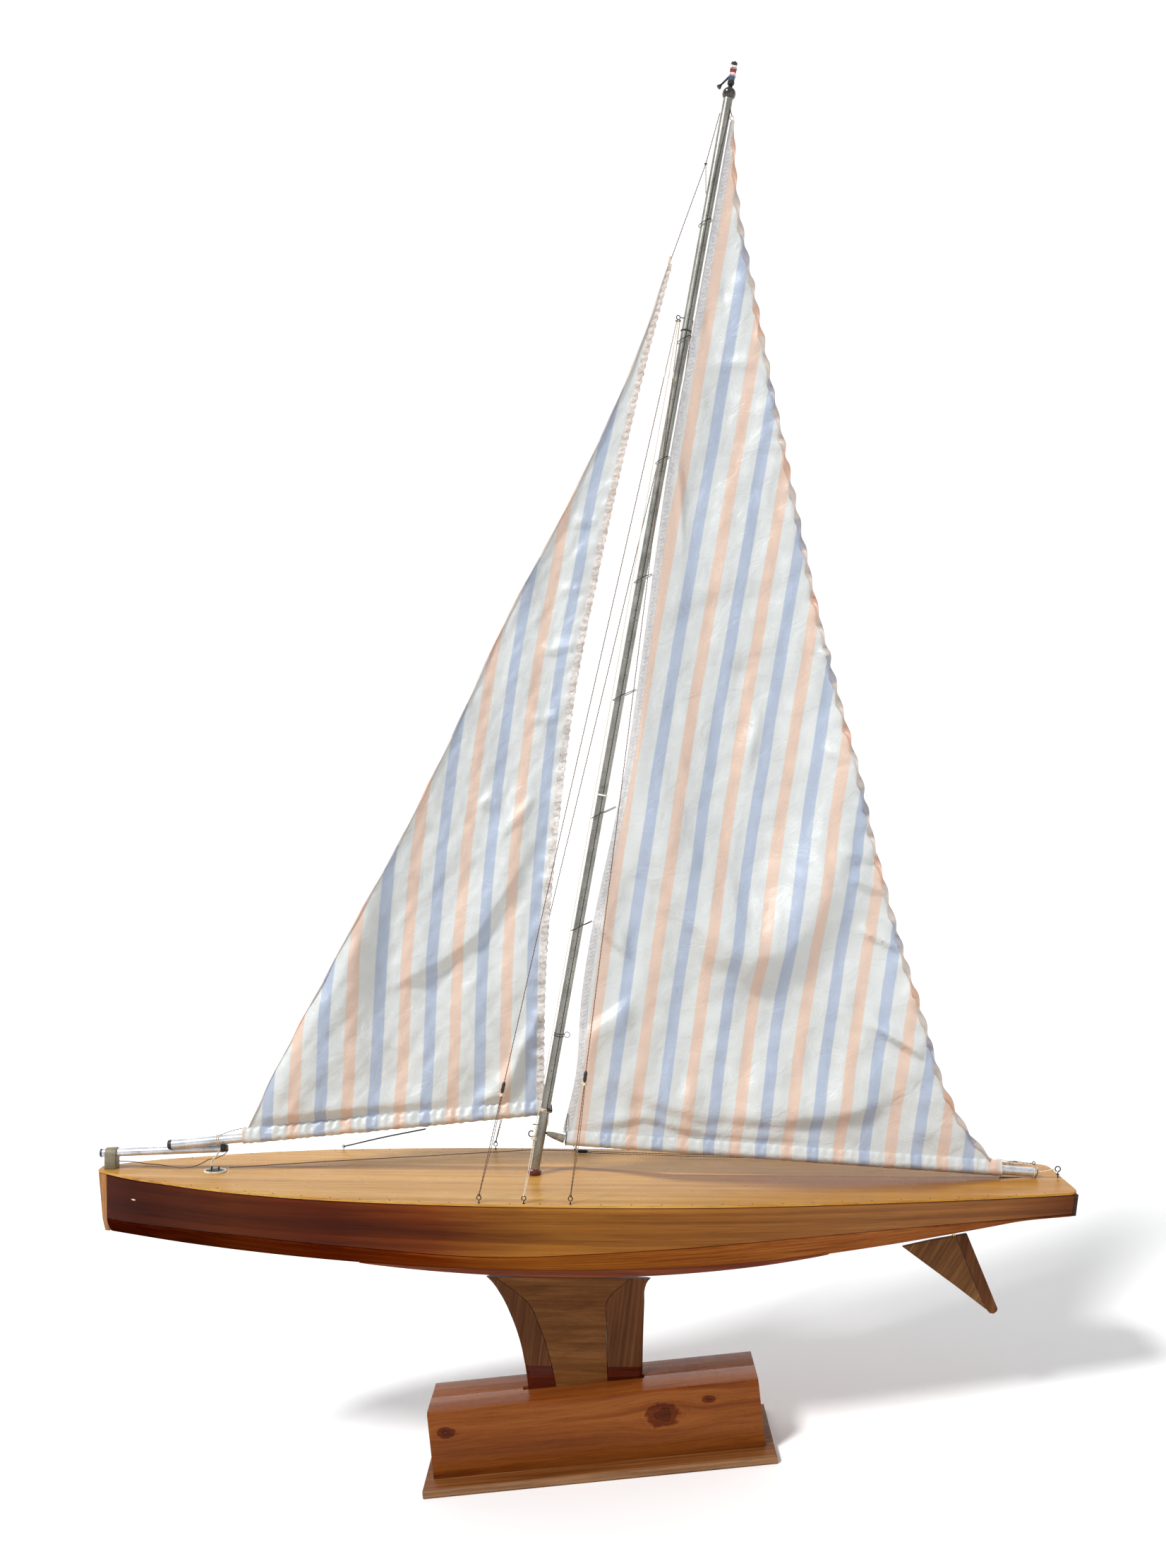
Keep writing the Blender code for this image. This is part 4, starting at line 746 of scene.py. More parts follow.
BOW_CORD = [(0.1674, 0.001, 0.0248), (0.1645, 0.0006, 0.0222), (0.1575, 0.0002, 0.0186),
            (0.151, 0.0006, 0.016), (0.144, 0.0035, 0.0148), (0.1345, 0.0065, 0.0092),
            (0.1222, 0.0045, 0.0044), (0.1085, -0.001, 0.004), (0.0893, 0.0068, 0.004),
            (0.0708, 0.0142, 0.0041), (0.0554, 0.0155, 0.0046), (0.044, 0.0105, 0.0078),
            (0.033, 0.004, 0.0106), (0.0229, 0.001, 0.0118)]
BOW_CORD_DIAMETER = 0.0012

route = smooth_route(BOW_CORD, 84)
build = Build()
build.tube(route, BOW_CORD_DIAMETER / 2, cord_brown, 8)
bow_cord = build.finish("bow_cord_lashing", "yacht", ["bow_cord"])


# ---------------------------------------------------------------- hull

def chine_half(x):
    """Half the breadth at the chine."""
    return CHINE_FRACTION * half_breadth(x)


def bottom_rise(x):
    """How steeply the bottom rises from keel to chine."""
    return (keel_depth(x) - chine_depth(x)) / chine_half(x)


def side_rows(x, side):
    """Section of a side panel with eased outer edges, and its place down from the deck."""
    top = sheer(x) - DECK - GAP
    low = -chine_depth(x) + PANEL + 2 * GAP
    flare = chine_half(x) - half_breadth(x)
    outer = lambda z: half_breadth(x) + flare * (top - z) / (chine_depth(x) + top)
    inset = [0.0006, 0.0002, 0.0]
    heights = [top, top - 0.0003, top - 0.0008] + [top + (low - top) * i / 8 for i in range(1, 8)]
    heights += [low + 0.0008, low + 0.0003, low]
    ring, lay = [], []
    for i, z in enumerate(heights):
        ease = inset[min(i, len(heights) - 1 - i, 2)]
        ring.append((x, side * (outer(z) - ease), z))
        lay.append((x, top - z, side))
    for z in (low, top):
        ring.append((x, side * (outer(z) - PANEL), z))
        lay.append((x, 0.02, side))
    return ring, lay


def bottom_rows(x, side):
    """Section of a bottom panel, which laps under the side panel."""
    half, rise = chine_half(x), bottom_rise(x)
    thick = PANEL * sqrt(1 + rise ** 2)
    chine, keel = -chine_depth(x), -keel_depth(x) + rise * GAP
    ring = [(x, side * (half - 0.0005), chine + PANEL), (x, side * half, chine + PANEL - 0.0006),
            (x, side * half, chine + 0.0006), (x, side * (half - 0.0006), chine - 0.0001)]
    ring += [(x, side * (half + (GAP - half) * i / 6), chine + (keel - chine) * i / 6) for i in range(1, 7)]
    ring += [(x, side * GAP, keel + thick)]
    return ring


STATIONS = 110
first, last = STEM_WIDTH + GAP, LENGTH - TRANSOM - GAP
for word, side in SIDES:
    sections = [side_rows(x, side) for x in spaced(first, last, STATIONS)]
    build = Build()
    build.grid([ring for ring, _ in sections], side_wood, [lay for _, lay in sections], caps=True)
    build.finish(f"side_panel_{word}", "yacht", [f"hull_side_{word}"])
    build = Build()
    build.grid([bottom_rows(x, side) for x in spaced(first, last, STATIONS)], bottom_wood, caps=True)
    build.finish(f"bottom_panel_{word}", "yacht", [f"hull_bottom_{word}"], sharp=24)


def deck_row(x, half):
    """Section of the deck with rounded edges."""
    top, low, edge = sheer(x), sheer(x) - DECK, 0.0008
    across = [half - edge * 0.3] + [half * (1 - 2 * i / 20) for i in range(1, 20)] + [-half + edge * 0.3]
    ring = [(x, half, low), (x, half, top - edge)] + [(x, y,
                                                       top - (edge * 0.3 if abs(y) > half - edge else 0.0))
                                                      for y in across]
    return ring + [(x, -half, top - edge), (x, -half, low)]


DECK_CORNER = 0.016
rows = [deck_row(x, half_breadth(x) if x > 0.0008 else half_breadth(x) - 0.0012)
        for x in [0.0, 0.0009] + spaced(0.006, LENGTH - DECK_CORNER, 120)]
for part in (0.2, 0.4, 0.6, 0.75, 0.88, 0.95, 0.985, 1.0):
    x = LENGTH - DECK_CORNER + DECK_CORNER * part
    rows.append(deck_row(x, half_breadth(x) - 0.012 * (1 - sqrt(1 - part ** 2))))
build = Build()
build.grid(rows, deck_wood, caps=True)
build.finish("deck_sheet", "yacht", ["deck_panel"], sharp=50)

NAIL_ENDS, NAIL_COUNT = (0.03, 1.225), 33
build = Build()
for side in (-1, 1):
    for x in spaced(*NAIL_ENDS, NAIL_COUNT):
        foot = Vector((x, side * (half_breadth(x) - 0.0042), sheer(x) - 0.0004))
        build.lathe([(0.0, 0.0009), (0.00052, 0.0009), (0.0006, 0.0005)], foot, UPWARD, dark_metal, 10)
build.finish("deck_nails", "yacht")


def stem_ring(z):
    """Level section of the stem, which narrows below the chine."""
    front = -z / STEM_DEPTH * STEM_RAKE
    taper = 1.0 if z > -0.062 else (STEM_DEPTH + z) / (STEM_DEPTH - 0.062) * 0.72 + 0.28
    fore = 0.0092 * taper * (1 + 0.1 * z / STEM_DEPTH)
    aft = (half_breadth(STEM_WIDTH) - 0.0009) * taper * (1 + 0.15 * z / STEM_DEPTH)
    return [(front, fore, z), (front, -fore, z), (STEM_WIDTH, -aft, z), (STEM_WIDTH, aft, z)]


stem_top = sheer(0.0) - DECK - 2 * GAP
build = Build()
build.grid([stem_ring(z) for z in [stem_top, -0.015, -0.03, -0.045, -0.062, -0.066, -0.07, -0.0745,
                                   -STEM_DEPTH]],
           stem_wood, caps=True)
build.finish("stem_block", "yacht", ["stem_post"], bevel=0.0011)


def transom_ring(x):
    """Outline of the transom, a little inside the hull's skin."""
    half, low_half, shrink = half_breadth(x), chine_half(x), 0.0006
    top = sheer(x) - DECK - GAP
    return [(x, half - shrink, top), (x, low_half - shrink, -chine_depth(x)), (x, 0.0, -keel_depth(x)),
            (x, -low_half + shrink, -chine_depth(x)), (x, -half + shrink, top)]


build = Build()
build.grid([transom_ring(x) for x in (LENGTH - TRANSOM, LENGTH - 0.0004)], transom_wood, caps=True)
build.finish("transom_board", "yacht", ["transom"], bevel=0.0008)


def batten_ring(x):
    """Section of the keel batten, which runs out to nothing at both ends."""
    part = min(max((x - BATTEN[0]) / (BATTEN[1] - BATTEN[0]), 0.0), 1.0)
    top = -keel_depth(x) - 1.2 * GAP
    low = top - 0.0003 - (BATTEN_DEPTH + 0.0006) * sin(pi * part)
    wide = BATTEN_HALF_WIDTH * (0.15 + 0.85 * min(1.0, 7 * min(part, 1 - part)) ** 0.6)
    shoulder = top + bottom_rise(x) * wide
    side = [(1.0, shoulder), (0.97, low + 0.4 * (shoulder - low)), (0.86, low + 0.1 * (shoulder - low)),
            (0.7, low)]
    return [(x, 0.0, top)] + [(x, wide * w, z) for w, z in side] + [(x, -wide * w, z) for w, z in side[::-1]]


build = Build()
build.grid([batten_ring(x) for x in spaced(*BATTEN, 60)], keel_wood, caps=True)
build.finish("keel_strip", "yacht", ["keel_batten"])


# ---------------------------------------------------------------- fin and rudder

def plate_ring(z, fore, aft, fore_half, aft_half, shoulder=0.007):
    """Level section of a board whose fore or aft edge may be faired thin."""
    full = FIN_HALF_THICKNESS
    near = [(fore, fore_half * 0.7), (fore + 0.0005, fore_half)]
    near += [(fore + shoulder * t, fore_half + (full - fore_half) * sin(pi / 2 * t)) for t in (0.3, 0.6, 1.0)]
    near += [(aft - shoulder * t, aft_half + (full - aft_half) * sin(pi / 2 * t)) for t in (1.0, 0.6, 0.3)]
    near += [(aft - 0.0005, aft_half), (aft, aft_half * 0.7)]
    return [(x, y, z) for x, y in near] + [(x, -y, z) for x, y in near[::-1]]


lead_edge, trail_edge = fair_curve(FIN_LEADING), fair_curve(FIN_TRAILING)
fore_seam, aft_seam = fair_curve(FIN_LEADING_SEAM), fair_curve(FIN_TRAILING_SEAM)
heights = spaced(FIN_TOP, FIN_WOOD_FOOT, 48)
full, thin, joint = FIN_HALF_THICKNESS, FIN_EDGE_HALF_THICKNESS, GAP / 8
for name, fore, aft, fore_half, aft_half, look in (
        ("fin_leading_strip", lead_edge, lambda z: fore_seam(z) - joint, thin, full, fin_edge_wood),
        ("fin_core", lambda z: fore_seam(z) + joint, lambda z: aft_seam(z) - joint, full, full,
         fin_core_wood),
        ("fin_trailing_strip", lambda z: aft_seam(z) + joint, trail_edge, full, thin, fin_edge_wood)):
    build = Build()
    rings = [plate_ring(z, fore(z), aft(z), fore_half, aft_half) for z in heights]
    build.grid(rings, look, caps=True)
    if name != "fin_core":
        build.looks.append(fin_varnish)
        varnished = sum(z > FIN_VARNISH_TOP for z in heights)
        for face in range(varnished * len(rings[0]), (len(heights) - 1) * len(rings[0])):
            build.index[face] = 1
    build.finish(name + "_board", "yacht", [name])

for name, look, outline in (
        ("rudder_blade", rudder_wood, [(1.061, -0.0892), (1.0998, -0.08), (1.1305, -0.0742),
                                       (1.1543, -0.1332), (1.1708, -0.17), (1.13, -0.1392)]),
        ("rudder_trailing_strip", fin_edge_wood, [(1.1309, -0.0741), (1.1455, -0.0713), (1.1858, -0.1688),
                                                  (1.1846, -0.1724), (1.1806, -0.1755), (1.1752, -0.1748),
                                                  (1.1712, -0.17), (1.1546, -0.1331)])):
    build = Build()
    build.grid([[(x, y, z) for x, z in outline] for y in (-RUDDER_HALF_THICKNESS, RUDDER_HALF_THICKNESS)],
               look, caps=True)
    build.finish(name + "_board", "rudder",
                 [name], bevel=0.0007)


# ---------------------------------------------------------------- stand

def settle(made, cutters):
    """Cut the cutters out of a piece, ease its edges and drop the cutters."""
    for cutter in cutters:
        step = made.modifiers.new("cut", "BOOLEAN")
        step.operation, step.solver, step.object = "DIFFERENCE", "EXACT", cutter
    soften = made.modifiers.new("ease", "BEVEL")
    soften.width, soften.segments, soften.limit_method, soften.angle_limit = 0.0012, 3, "ANGLE", radians(30)
    bpy.context.view_layer.update()
    mesh = bpy.data.meshes.new_from_object(made.evaluated_get(bpy.context.evaluated_depsgraph_get()))
    made.modifiers.clear()
    made.data = mesh
    mesh.shade_smooth()
    mesh.set_sharp_from_angle(angle=radians(40))
    own = np.array([vertex.co for vertex in mesh.vertices], np.float32)
    if "lay" in mesh.attributes:
        mesh.attributes.remove(mesh.attributes["lay"])
    mesh.attributes.new("lay", "FLOAT_VECTOR", "POINT").data.foreach_set("vector", own.ravel())
    for cutter in cutters:
        bpy.data.objects.remove(cutter)


def slot_cutter():
    """The fin's slot: its foot's outline, a clearance wider all round and open upwards."""
    fore = min(x for _, x in FIN_LEADING[5:]) - 0.002
    aft = max(x for _, x in FIN_TRAILING[4:]) + 0.002
    outline = [(fore, FIN_FOOT), (aft, FIN_FOOT), (aft, FIN_FOOT + 0.12), (fore, FIN_FOOT + 0.12)]
    made = Build()
    made.grid([[(x, y, z) for x, z in outline] for y in (-0.0052, 0.0052)], pine_wood, caps=True)
    return made.finish("slot_cutter", None)


for word, side in SIDES:
    inner, outer = side * GAP / 2, side * STAND_WIDTH / 2
    low, high, ease = PLATE_HEIGHT + GAP, STAND_TOP, 0.0028
    ring = [(inner, low), (outer, low)]
    ring += [(outer - side * ease * (1 - cos(t)), high - ease * (1 - sin(t))) for t in spaced(0.0, pi / 2, 5)]
    ring += [(inner, high)]
    build = Build(WORLD)
    build.grid([[(STAND_X + end * STAND_LENGTH / 2, y, z) for y, z in ring] for end in (-1, 1)], pine_wood,
               caps=True)
    block = build.finish(f"stand_timber_{word}", "stand", [f"stand_block_{word}"])
    cutters = [slot_cutter()]
    if side < 0:
        chip = Build(WORLD)
        corner = Vector((STAND_X - STAND_LENGTH / 2, -STAND_WIDTH / 2, STAND_TOP))
        chip.lathe([(-0.004, 0.004), (0.0, 0.0052), (0.004, 0.0046), (0.008, 0.002)],
                   corner + Vector((-0.002, -0.0026, 0.0026)), (1.0, 0.55, -0.5), pine_wood, 7)
        cutters.append(chip.finish("chip_cutter", None))
    settle(block, cutters)

half_width, edge = PLATE_WIDTH / 2, 0.0042
section = [(-half_width + 0.0008, 0.0), (half_width - 0.0008, 0.0), (half_width, 0.0008)]
section += [(half_width - edge * (1 - cos(t)), PLATE_HEIGHT - edge * (1 - sin(t)))
            for t in spaced(0.0, pi / 2, 6)]
section += [(-half_width + edge * (1 - sin(t)), PLATE_HEIGHT - edge * (1 - cos(t)))
            for t in spaced(0.0, pi / 2, 6)]
section += [(-half_width, 0.0008)]
build = Build(WORLD)
build.grid([[(STAND_X + part * PLATE_LENGTH / 2, y, z) for y, z in section]
            for part in (-1.0, -0.6, -0.2, 0.2, 0.6, 1.0)], oak_wood, caps=True)
build.looks.append(pale_oak_edge)
for i, face in enumerate(build.faces):
    middle = sum((Vector(build.points[k]) for k in face), Vector()) / len(face)
    if abs(middle.y) > half_width - edge * 0.9 and middle.z > 0.003 and len(face) == 4:
        build.index[i] = 1
build.finish("stand_plate", "stand", ["stand_base_plate"], bevel=0.0009, sharp=50)


# ---------------------------------------------------------------- mast and masthead

rake = Vector((MAST_RAKE, 0.0, 1.0)).normalized()
mast_top = Vector((mast_x(MAST_TOP_Z), 0.0, MAST_TOP_Z))


def at_mast(z, port=0.0, aft=0.0):
    """A place beside the mast's axis."""
    return Vector((mast_x(z) + aft, -port, z))


build = Build()
build.pipe(at_mast(-0.102), mast_top, MAST_RADIUS, MAST_RADIUS - TUBE_WALL, mast_metal, 40, 40)
build.finish("mast_spar", "yacht", ["mast_tube"])
build = Build()
build.lathe([(0.0006, MAST_RADIUS), (0.0006, 0.009), (0.0012, 0.0094), (0.0055, 0.0094), (0.0068, 0.009),
             (0.0078, 0.0082), (0.008, 0.007), (0.008, MAST_RADIUS)], at_mast(0.0), rake, collar_red, 36,
            around=True)
build.finish("mast_boot", "yacht", ["mast_collar"])

build = Build()
for z, look, radius in ((0.502, white_tape, 0.0011), (0.087, cord_cream, 0.0009),
                        (0.0845, cord_cream, 0.0008),
                        (1.117, cord_black, 0.0007), (0.1865, dark_wire, 0.0005),
                        (0.1835, dark_wire, 0.0005)):
    build.ring(at_mast(z), MAST_RADIUS + radius * 0.8, radius, look, rake)
build.ring(at_mast(0.185, 0.0015, 0.0108), 0.0036, 0.0005, dark_wire, ABEAM)
build.knot(at_mast(0.0865, 0.0066, 0.0045), 0.003, cord_black)
build.knot(at_mast(0.0865, 0.0074, -0.003), 0.0024, cord_cream, 1.0)
build.rope(straight(at_mast(0.086, 0.006, 0.005), at_mast(0.064, 0.005, 0.0075)), 0.0006, cord_cream)
build.finish("mast_lashings", "yacht")

HALYARD_RADIUS = 0.0006
build = Build()
halyard = [at_mast(1.41, 0.0035, 0.0058), at_mast(1.36, 0.0058, 0.0028), at_mast(1.2, 0.0062, 0.0012),
           at_mast(0.9, 0.0063, 0.001), at_mast(0.6, 0.0063, 0.001), at_mast(0.3, 0.0063, 0.0012),
           at_mast(0.088, 0.0064, 0.002)]
build.run(halyard, 900, HALYARD_RADIUS, cord_black)
build.finish("main_halyard", "yacht")

ball = [(0.0003, 0.006), (0.001, 0.007), (0.0024, 0.0081), (0.0042, 0.0087), (0.0062, 0.009),
        (0.0082, 0.0088),
        (0.0102, 0.0082), (0.0118, 0.0072), (0.013, 0.006), (0.0138, 0.0048), (0.0146, 0.004),
        (0.016, 0.0032),
        (0.0174, 0.0026), (0.018, 0.0011), (FINIAL_HEIGHT - 0.0018, 0.0011), (FINIAL_HEIGHT - 0.0017, 0.0023),
        (FINIAL_HEIGHT - 0.0008, 0.0022), (FINIAL_HEIGHT, 0.0012)]
build = Build()
build.lathe(ball, mast_top, rake, black_gloss, 36)
build.finish("masthead_ball", "yacht", ["masthead_finial"])

FLAG_TURNS, FLAG_LOW, FLAG_HIGH = 3.1, 0.0188, 0.0478
FLAG_CORE, FLAG_SWELL, FLAG_HALF = 0.0017, 0.0028, 0.00015
flag = Look("pennant_visual", Roughness=0.75, Sheen_Weight=0.3)
flag_place = flag.lay()
flag_colour = flag.node("ValToRGB", {0: flag.split(flag_place, 1)})
bands = [(0.0, tone(26, 25, 30)), (0.17, tone(58, 76, 108)), (0.36, tone(232, 206, 206)),
         (0.53, tone(140, 24, 34)), (0.7, tone(236, 226, 224)), (0.86, tone(44, 30, 38))]
ramp = flag_colour.node.color_ramp
ramp.interpolation = "CONSTANT"
for place, colour in bands[1:-1]:
    ramp.elements.new(place)
for element, (place, colour) in zip(ramp.elements, bands):
    element.position, element.color = place, colour
flag_weave = flag.cloud(flag.own(), 2600.0, 3.0)
flag_tint = flag.mix(0.5, flag_colour, flag.ramp(flag_weave, [(0.3, 0.7), (0.6, 1.0)]), "MULTIPLY")
flag_look = flag.close(flag_tint, None, flag.bump(flag_weave, 0.0003, 0.7))

build = Build()
side = rake.cross(Vector(ABEAM)).normalized()
other = rake.cross(side)
rows, lays = [], []
steps, rises = 96, 14
for r in range(rises + 1):
    up = r / rises
    near, far, lay = [], [], []
    for s in range(steps + 1):
        part = s / steps
        angle = 2 * pi * FLAG_TURNS * part + 0.5 * up
        radius = FLAG_CORE + FLAG_SWELL * part + 0.00018 * sin(5 * angle + 9 * up) * part
        height = FLAG_LOW + (FLAG_HIGH - FLAG_LOW) * up + 0.0006 * sin(3 * angle) * (2 * up - 1)
        out = side * cos(angle) + other * sin(angle)
        near.append(mast_top + rake * height + out * (radius + FLAG_HALF))
        far.append(mast_top + rake * height + out * (radius - FLAG_HALF))
        lay.append((part, up, 0.0))
    rows.append(near + far[::-1])
    lays.append(lay + lay[::-1])
build.grid(rows, flag_look, lays)
count = 2 * (steps + 1)
for base, flip in ((0, False), (rises * count, True)):
    for s in range(steps):
        face = (base + s, base + s + 1, base + count - 2 - s, base + count - 1 - s)
        build.faces.append(face[::-1] if flip else face)
        build.index.append(0)
pennant = build.finish("pennant_cloth", "pennant", ["pennant"])
root, tip = mast_top + rake * 0.03 + Vector((-0.0036, 0.0, 0.0)), Vector((0.8118, 0.0, 1.4409))
reach = (tip - root).length
build = Build()
build.lathe([(0.0, 0.0014), (reach - 0.006, 0.0013), (reach - 0.004, 0.0018), (reach - 0.0018, 0.003),
             (reach, 0.0034)],
            root, tip - root, black_plain, 16)
for distance in (0.0215, 0.03, 0.04):
    build.ring(mast_top + rake * distance, 0.0046, 0.0003, cord_black, rake)
build.finish("pennant_arm", "pennant")


EYE_OPENS, EYE_STEP, EYE_STEPS = -80, 9.5, 35


def screw_eye(build, foot, direction, sideways, shank=0.0035, radius=EYE_RADIUS, thick=EYE_WIRE):
    """A wire eye: a shank that curls round into an almost closed ring."""
    along, across = Vector(direction).normalized(), Vector(sideways).normalized()
    centre = Vector(foot) + along * (shank + radius)
    points = [Vector(foot), Vector(foot) + along * (shank - 0.0012), Vector(foot) + along * (shank - 0.0004)]
    turns = [radians(EYE_OPENS + step * EYE_STEP) for step in range(EYE_STEPS)]
    points += [centre + along * sin(turn) * radius + across * cos(turn) * radius for turn in turns]
    build.tube(points, thick, dark_wire, 10)


for word, (bearing, shank) in HOUND_EYES.items():
    out = Vector((cos(bearing), sin(bearing), 0.0))
    build = Build()
    screw_eye(build, at_mast(HOUND_Z) + out * (MAST_RADIUS * 0.98), out, UPWARD, shank + 0.0009)
    build.finish(f"hound_ring_{word}", "yacht", [f"hound_eye_{word}"])
neck_z = GOOSENECK_Z - 0.0017
build = Build()
screw_eye(build, (mast_x(neck_z) - MAST_RADIUS * 0.97, 0.0, neck_z), (-1.0, 0.0, 0.0), UPWARD, 0.0026, 0.0038,
          0.0008)
build.tube([at_mast(0.066, 0.0, -0.013), at_mast(0.0662, 0.0, -0.01), at_mast(0.0655, 0.0, -0.0062)], 0.0007,
           dark_wire)
build.finish("gooseneck_ring", "yacht", ["gooseneck_eye"])


def hound_point(side_word, word):
    """Where a shroud hangs in its hound eye."""
    bearing, shank = HOUND_EYES[side_word]
    reach = MAST_RADIUS * 1.02 + 2 * GAP + shank + EYE_RADIUS
    shift = {"fore": -0.002, "middle": 0.0, "aft": 0.002}[word]
    low = HOUND_Z - EYE_RADIUS - EYE_WIRE - 0.0016
    return Vector((mast_x(HOUND_Z) + cos(bearing) * reach + shift, sin(bearing) * reach, low))


def bowsie(build, centre, direction, look=black_plain):
    """A small turned adjuster with waisted ends."""
    profile = [(-0.007, 0.0007), (-0.0066, 0.0012), (-0.0056, 0.0019), (-0.003, 0.0023), (0.0, 0.002),
               (0.003, 0.0023), (0.0056, 0.0018), (0.0066, 0.0011), (0.007, 0.0007)]
    build.lathe(profile, centre, direction, look, 18)


for side_word, side in SIDES:
    for word, x in CHAINPLATES.items():
        foot = Vector((x, side * CHAINPLATE_Y, sheer(x) - 0.0002))
        build = Build()
        screw_eye(build, foot, UPWARD, AFTWARD, 0.004)
        build.lathe([(0.0, 0.0016), (0.0006, 0.0016), (0.0008, 0.0011)], foot, UPWARD, dark_wire, 12)
        build.finish(f"chainplate_{side_word}_{word}", "yacht",
                     [f"chainplate_eye_{side_word}_{word}"])
        low = foot + Vector((0.0, -side * 0.0004, 0.004 + 2 * EYE_RADIUS + EYE_WIRE + SHROUD_RADIUS))
        high = hound_point(side_word, word)
        loose = (side_word, word) == ("starboard", "aft")
        if loose:
            high += Vector((-0.0018, 0.0008, 0.0))
        along = (high - low).normalized()
        cord = cord_cream if word == "middle" else cord_brown
        part = (BOWSIE_HEIGHTS[word] - low.z) / (high.z - low.z)
        middle = low.lerp(high, part)
        build = Build()
        build.rope(straight(low, high), SHROUD_RADIUS, cord)
        lift = Vector((0.0016, 0.0, 0.0))
        build.run([low + Vector((0.0006, 0, 0)), low.lerp(middle, 0.5) + lift * 1.4,
                                 middle - along * 0.006 + lift * 0.6], 90, SHROUD_RADIUS * 0.85, cord)
        build.knot(low - along * 0.0002, 0.0017, cord)
        bowsie(build, middle, along, black_plain if word != "middle" else cream_paint)
        build.knot(middle - along * 0.0092, 0.0033, cord_cream, 0.7)
        crimp = high - along * 0.075
        if not loose:
            build.rope(straight(high + Vector((0.0, 0.0, 0.0006)), crimp, 0.0016), SHROUD_RADIUS * 0.9,
                       cord_cream if side_word == "port" else cord_brown)
            build.lathe([(-0.0045, 0.0009), (-0.004, 0.0012), (0.004, 0.0012), (0.0045, 0.0009)], crimp,
                        along, cream_paint, 12)
            build.knot(high + Vector((0.0, 0.0, 0.0004)), 0.0016, cord)
        build.finish(f"rigging_{side_word}_{word}", "yacht", [f"shroud_{side_word}_{word}"])


# ---------------------------------------------------------------- booms

(x0, z0), (x1, z1) = MAIN_BOOM
boom_start, boom_end = Vector((x0, 0.0, z0)), Vector((x1, 0.0, z1))
boom_along = (boom_end - boom_start).normalized()
build = Build()
build.pipe(boom_start, boom_end, BOOM_RADIUS, BOOM_RADIUS - TUBE_WALL, bright_tube, 36, 16)
build.lathe([(-0.003, 0.001), (-0.0028, BOOM_RADIUS - TUBE_WALL), (0.0, BOOM_RADIUS - TUBE_WALL),
             (0.0002, 0.001)],
            boom_end - boom_along * 0.0012, boom_along, black_plain, 24)
build.finish("main_boom_spar", "main_boom", ["main_boom_tube"])

nose = Vector((mast_x(GOOSENECK_Z) + MAST_RADIUS * sqrt(1 + MAST_RAKE ** 2) + 4 * GAP, 0.0,
               GOOSENECK_Z - 0.0006))
shoulder = boom_start - boom_along * GAP
reach = (shoulder - nose).length
build = Build()
build.lathe([(0.0, 0.0018), (0.0006, 0.0026), (reach * 0.3, 0.004), (reach * 0.55, 0.0048),
             (reach * 0.6, 0.0044),
             (reach * 0.65, 0.005), (reach - 0.0004, 0.0056), (reach, 0.0053)], nose, shoulder - nose,
            plug_grey, 28)
build.lathe([(-0.0016, 0.0013), (0.0008, 0.0014), (0.002, 0.0022)], nose, shoulder - nose, dark_metal, 14)
build.finish("gooseneck_cone", "main_boom", ["gooseneck_plug"])

HOOP_OPENS, HOOP_SWEEP, HOOP_STEPS, HOOP_WIRE = 50, 260, 32, 0.0005
HOOP_PITCH = 0.0016
build = Build()
for height in HOOP_HEIGHTS:
    tip_x = main_luff(height) - HOOP_CLEARANCE
    centre = at_mast(height)
    tip = Vector((tip_x, 0.0, height + (tip_x - centre.x) * tan(HOOP_TILT)))
    along, across = HOOP_SEMI_AXES
    points = [tip]
    for step in range(HOOP_STEPS + 1):
        angle = radians(HOOP_OPENS + step * HOOP_SWEEP / HOOP_STEPS)
        points.append(centre + Vector((along * cos(angle) * cos(HOOP_TILT), across * sin(angle),
                                       along * cos(angle) * sin(HOOP_TILT) + HOOP_PITCH * step / HOOP_STEPS)))
    points.append(tip + Vector((0.0, 0.0, HOOP_PITCH)))
    build.tube(points, HOOP_WIRE, dark_wire, 8)
    build.knot(tip + Vector((0.001, -0.0003, 0.0008)), 0.0013, thread, height * 9)
build.finish("luff_rings", "main_boom", ["luff_hoops"])

fore, aft = Vector(JIB_BOOM[0]), Vector(JIB_BOOM[1])
jib_along = (aft - fore).normalized()
build = Build()
build.pipe(fore, aft, JIB_BOOM_RADIUS, JIB_BOOM_RADIUS - TUBE_WALL, bright_tube, 36, 16)
build.lathe([(-0.0052, 0.0036), (-0.0046, 0.0052), (-0.0034, 0.0062), (0.0, 0.0064), (0.0004, 0.0064),
             (0.0006, 0.0049), (0.01, 0.0049)],
            fore, jib_along, black_plain, 28)
build.lathe([(-0.01, 0.0049), (0.0, 0.0049), (-0.0004, 0.0064), (0.0, 0.0064), (0.0034, 0.0062),
             (0.0046, 0.0052), (0.0052, 0.0036)],
            aft, jib_along, black_plain, 28)
pivot = Vector(JIB_PIVOT)
build.lathe([(-0.015, 0.0022), (-0.014, 0.003), (-0.01, 0.0034), (-0.006, 0.0034), (-0.005, 0.003)],
            pivot + Vector((0.0, 0.0, 0.0052)), (0.1, 0.0, 1.0), black_plain, 20)
build.finish("jib_boom_spar", "jib_boom", ["jib_boom_tube"])


# ---------------------------------------------------------------- bow fittings

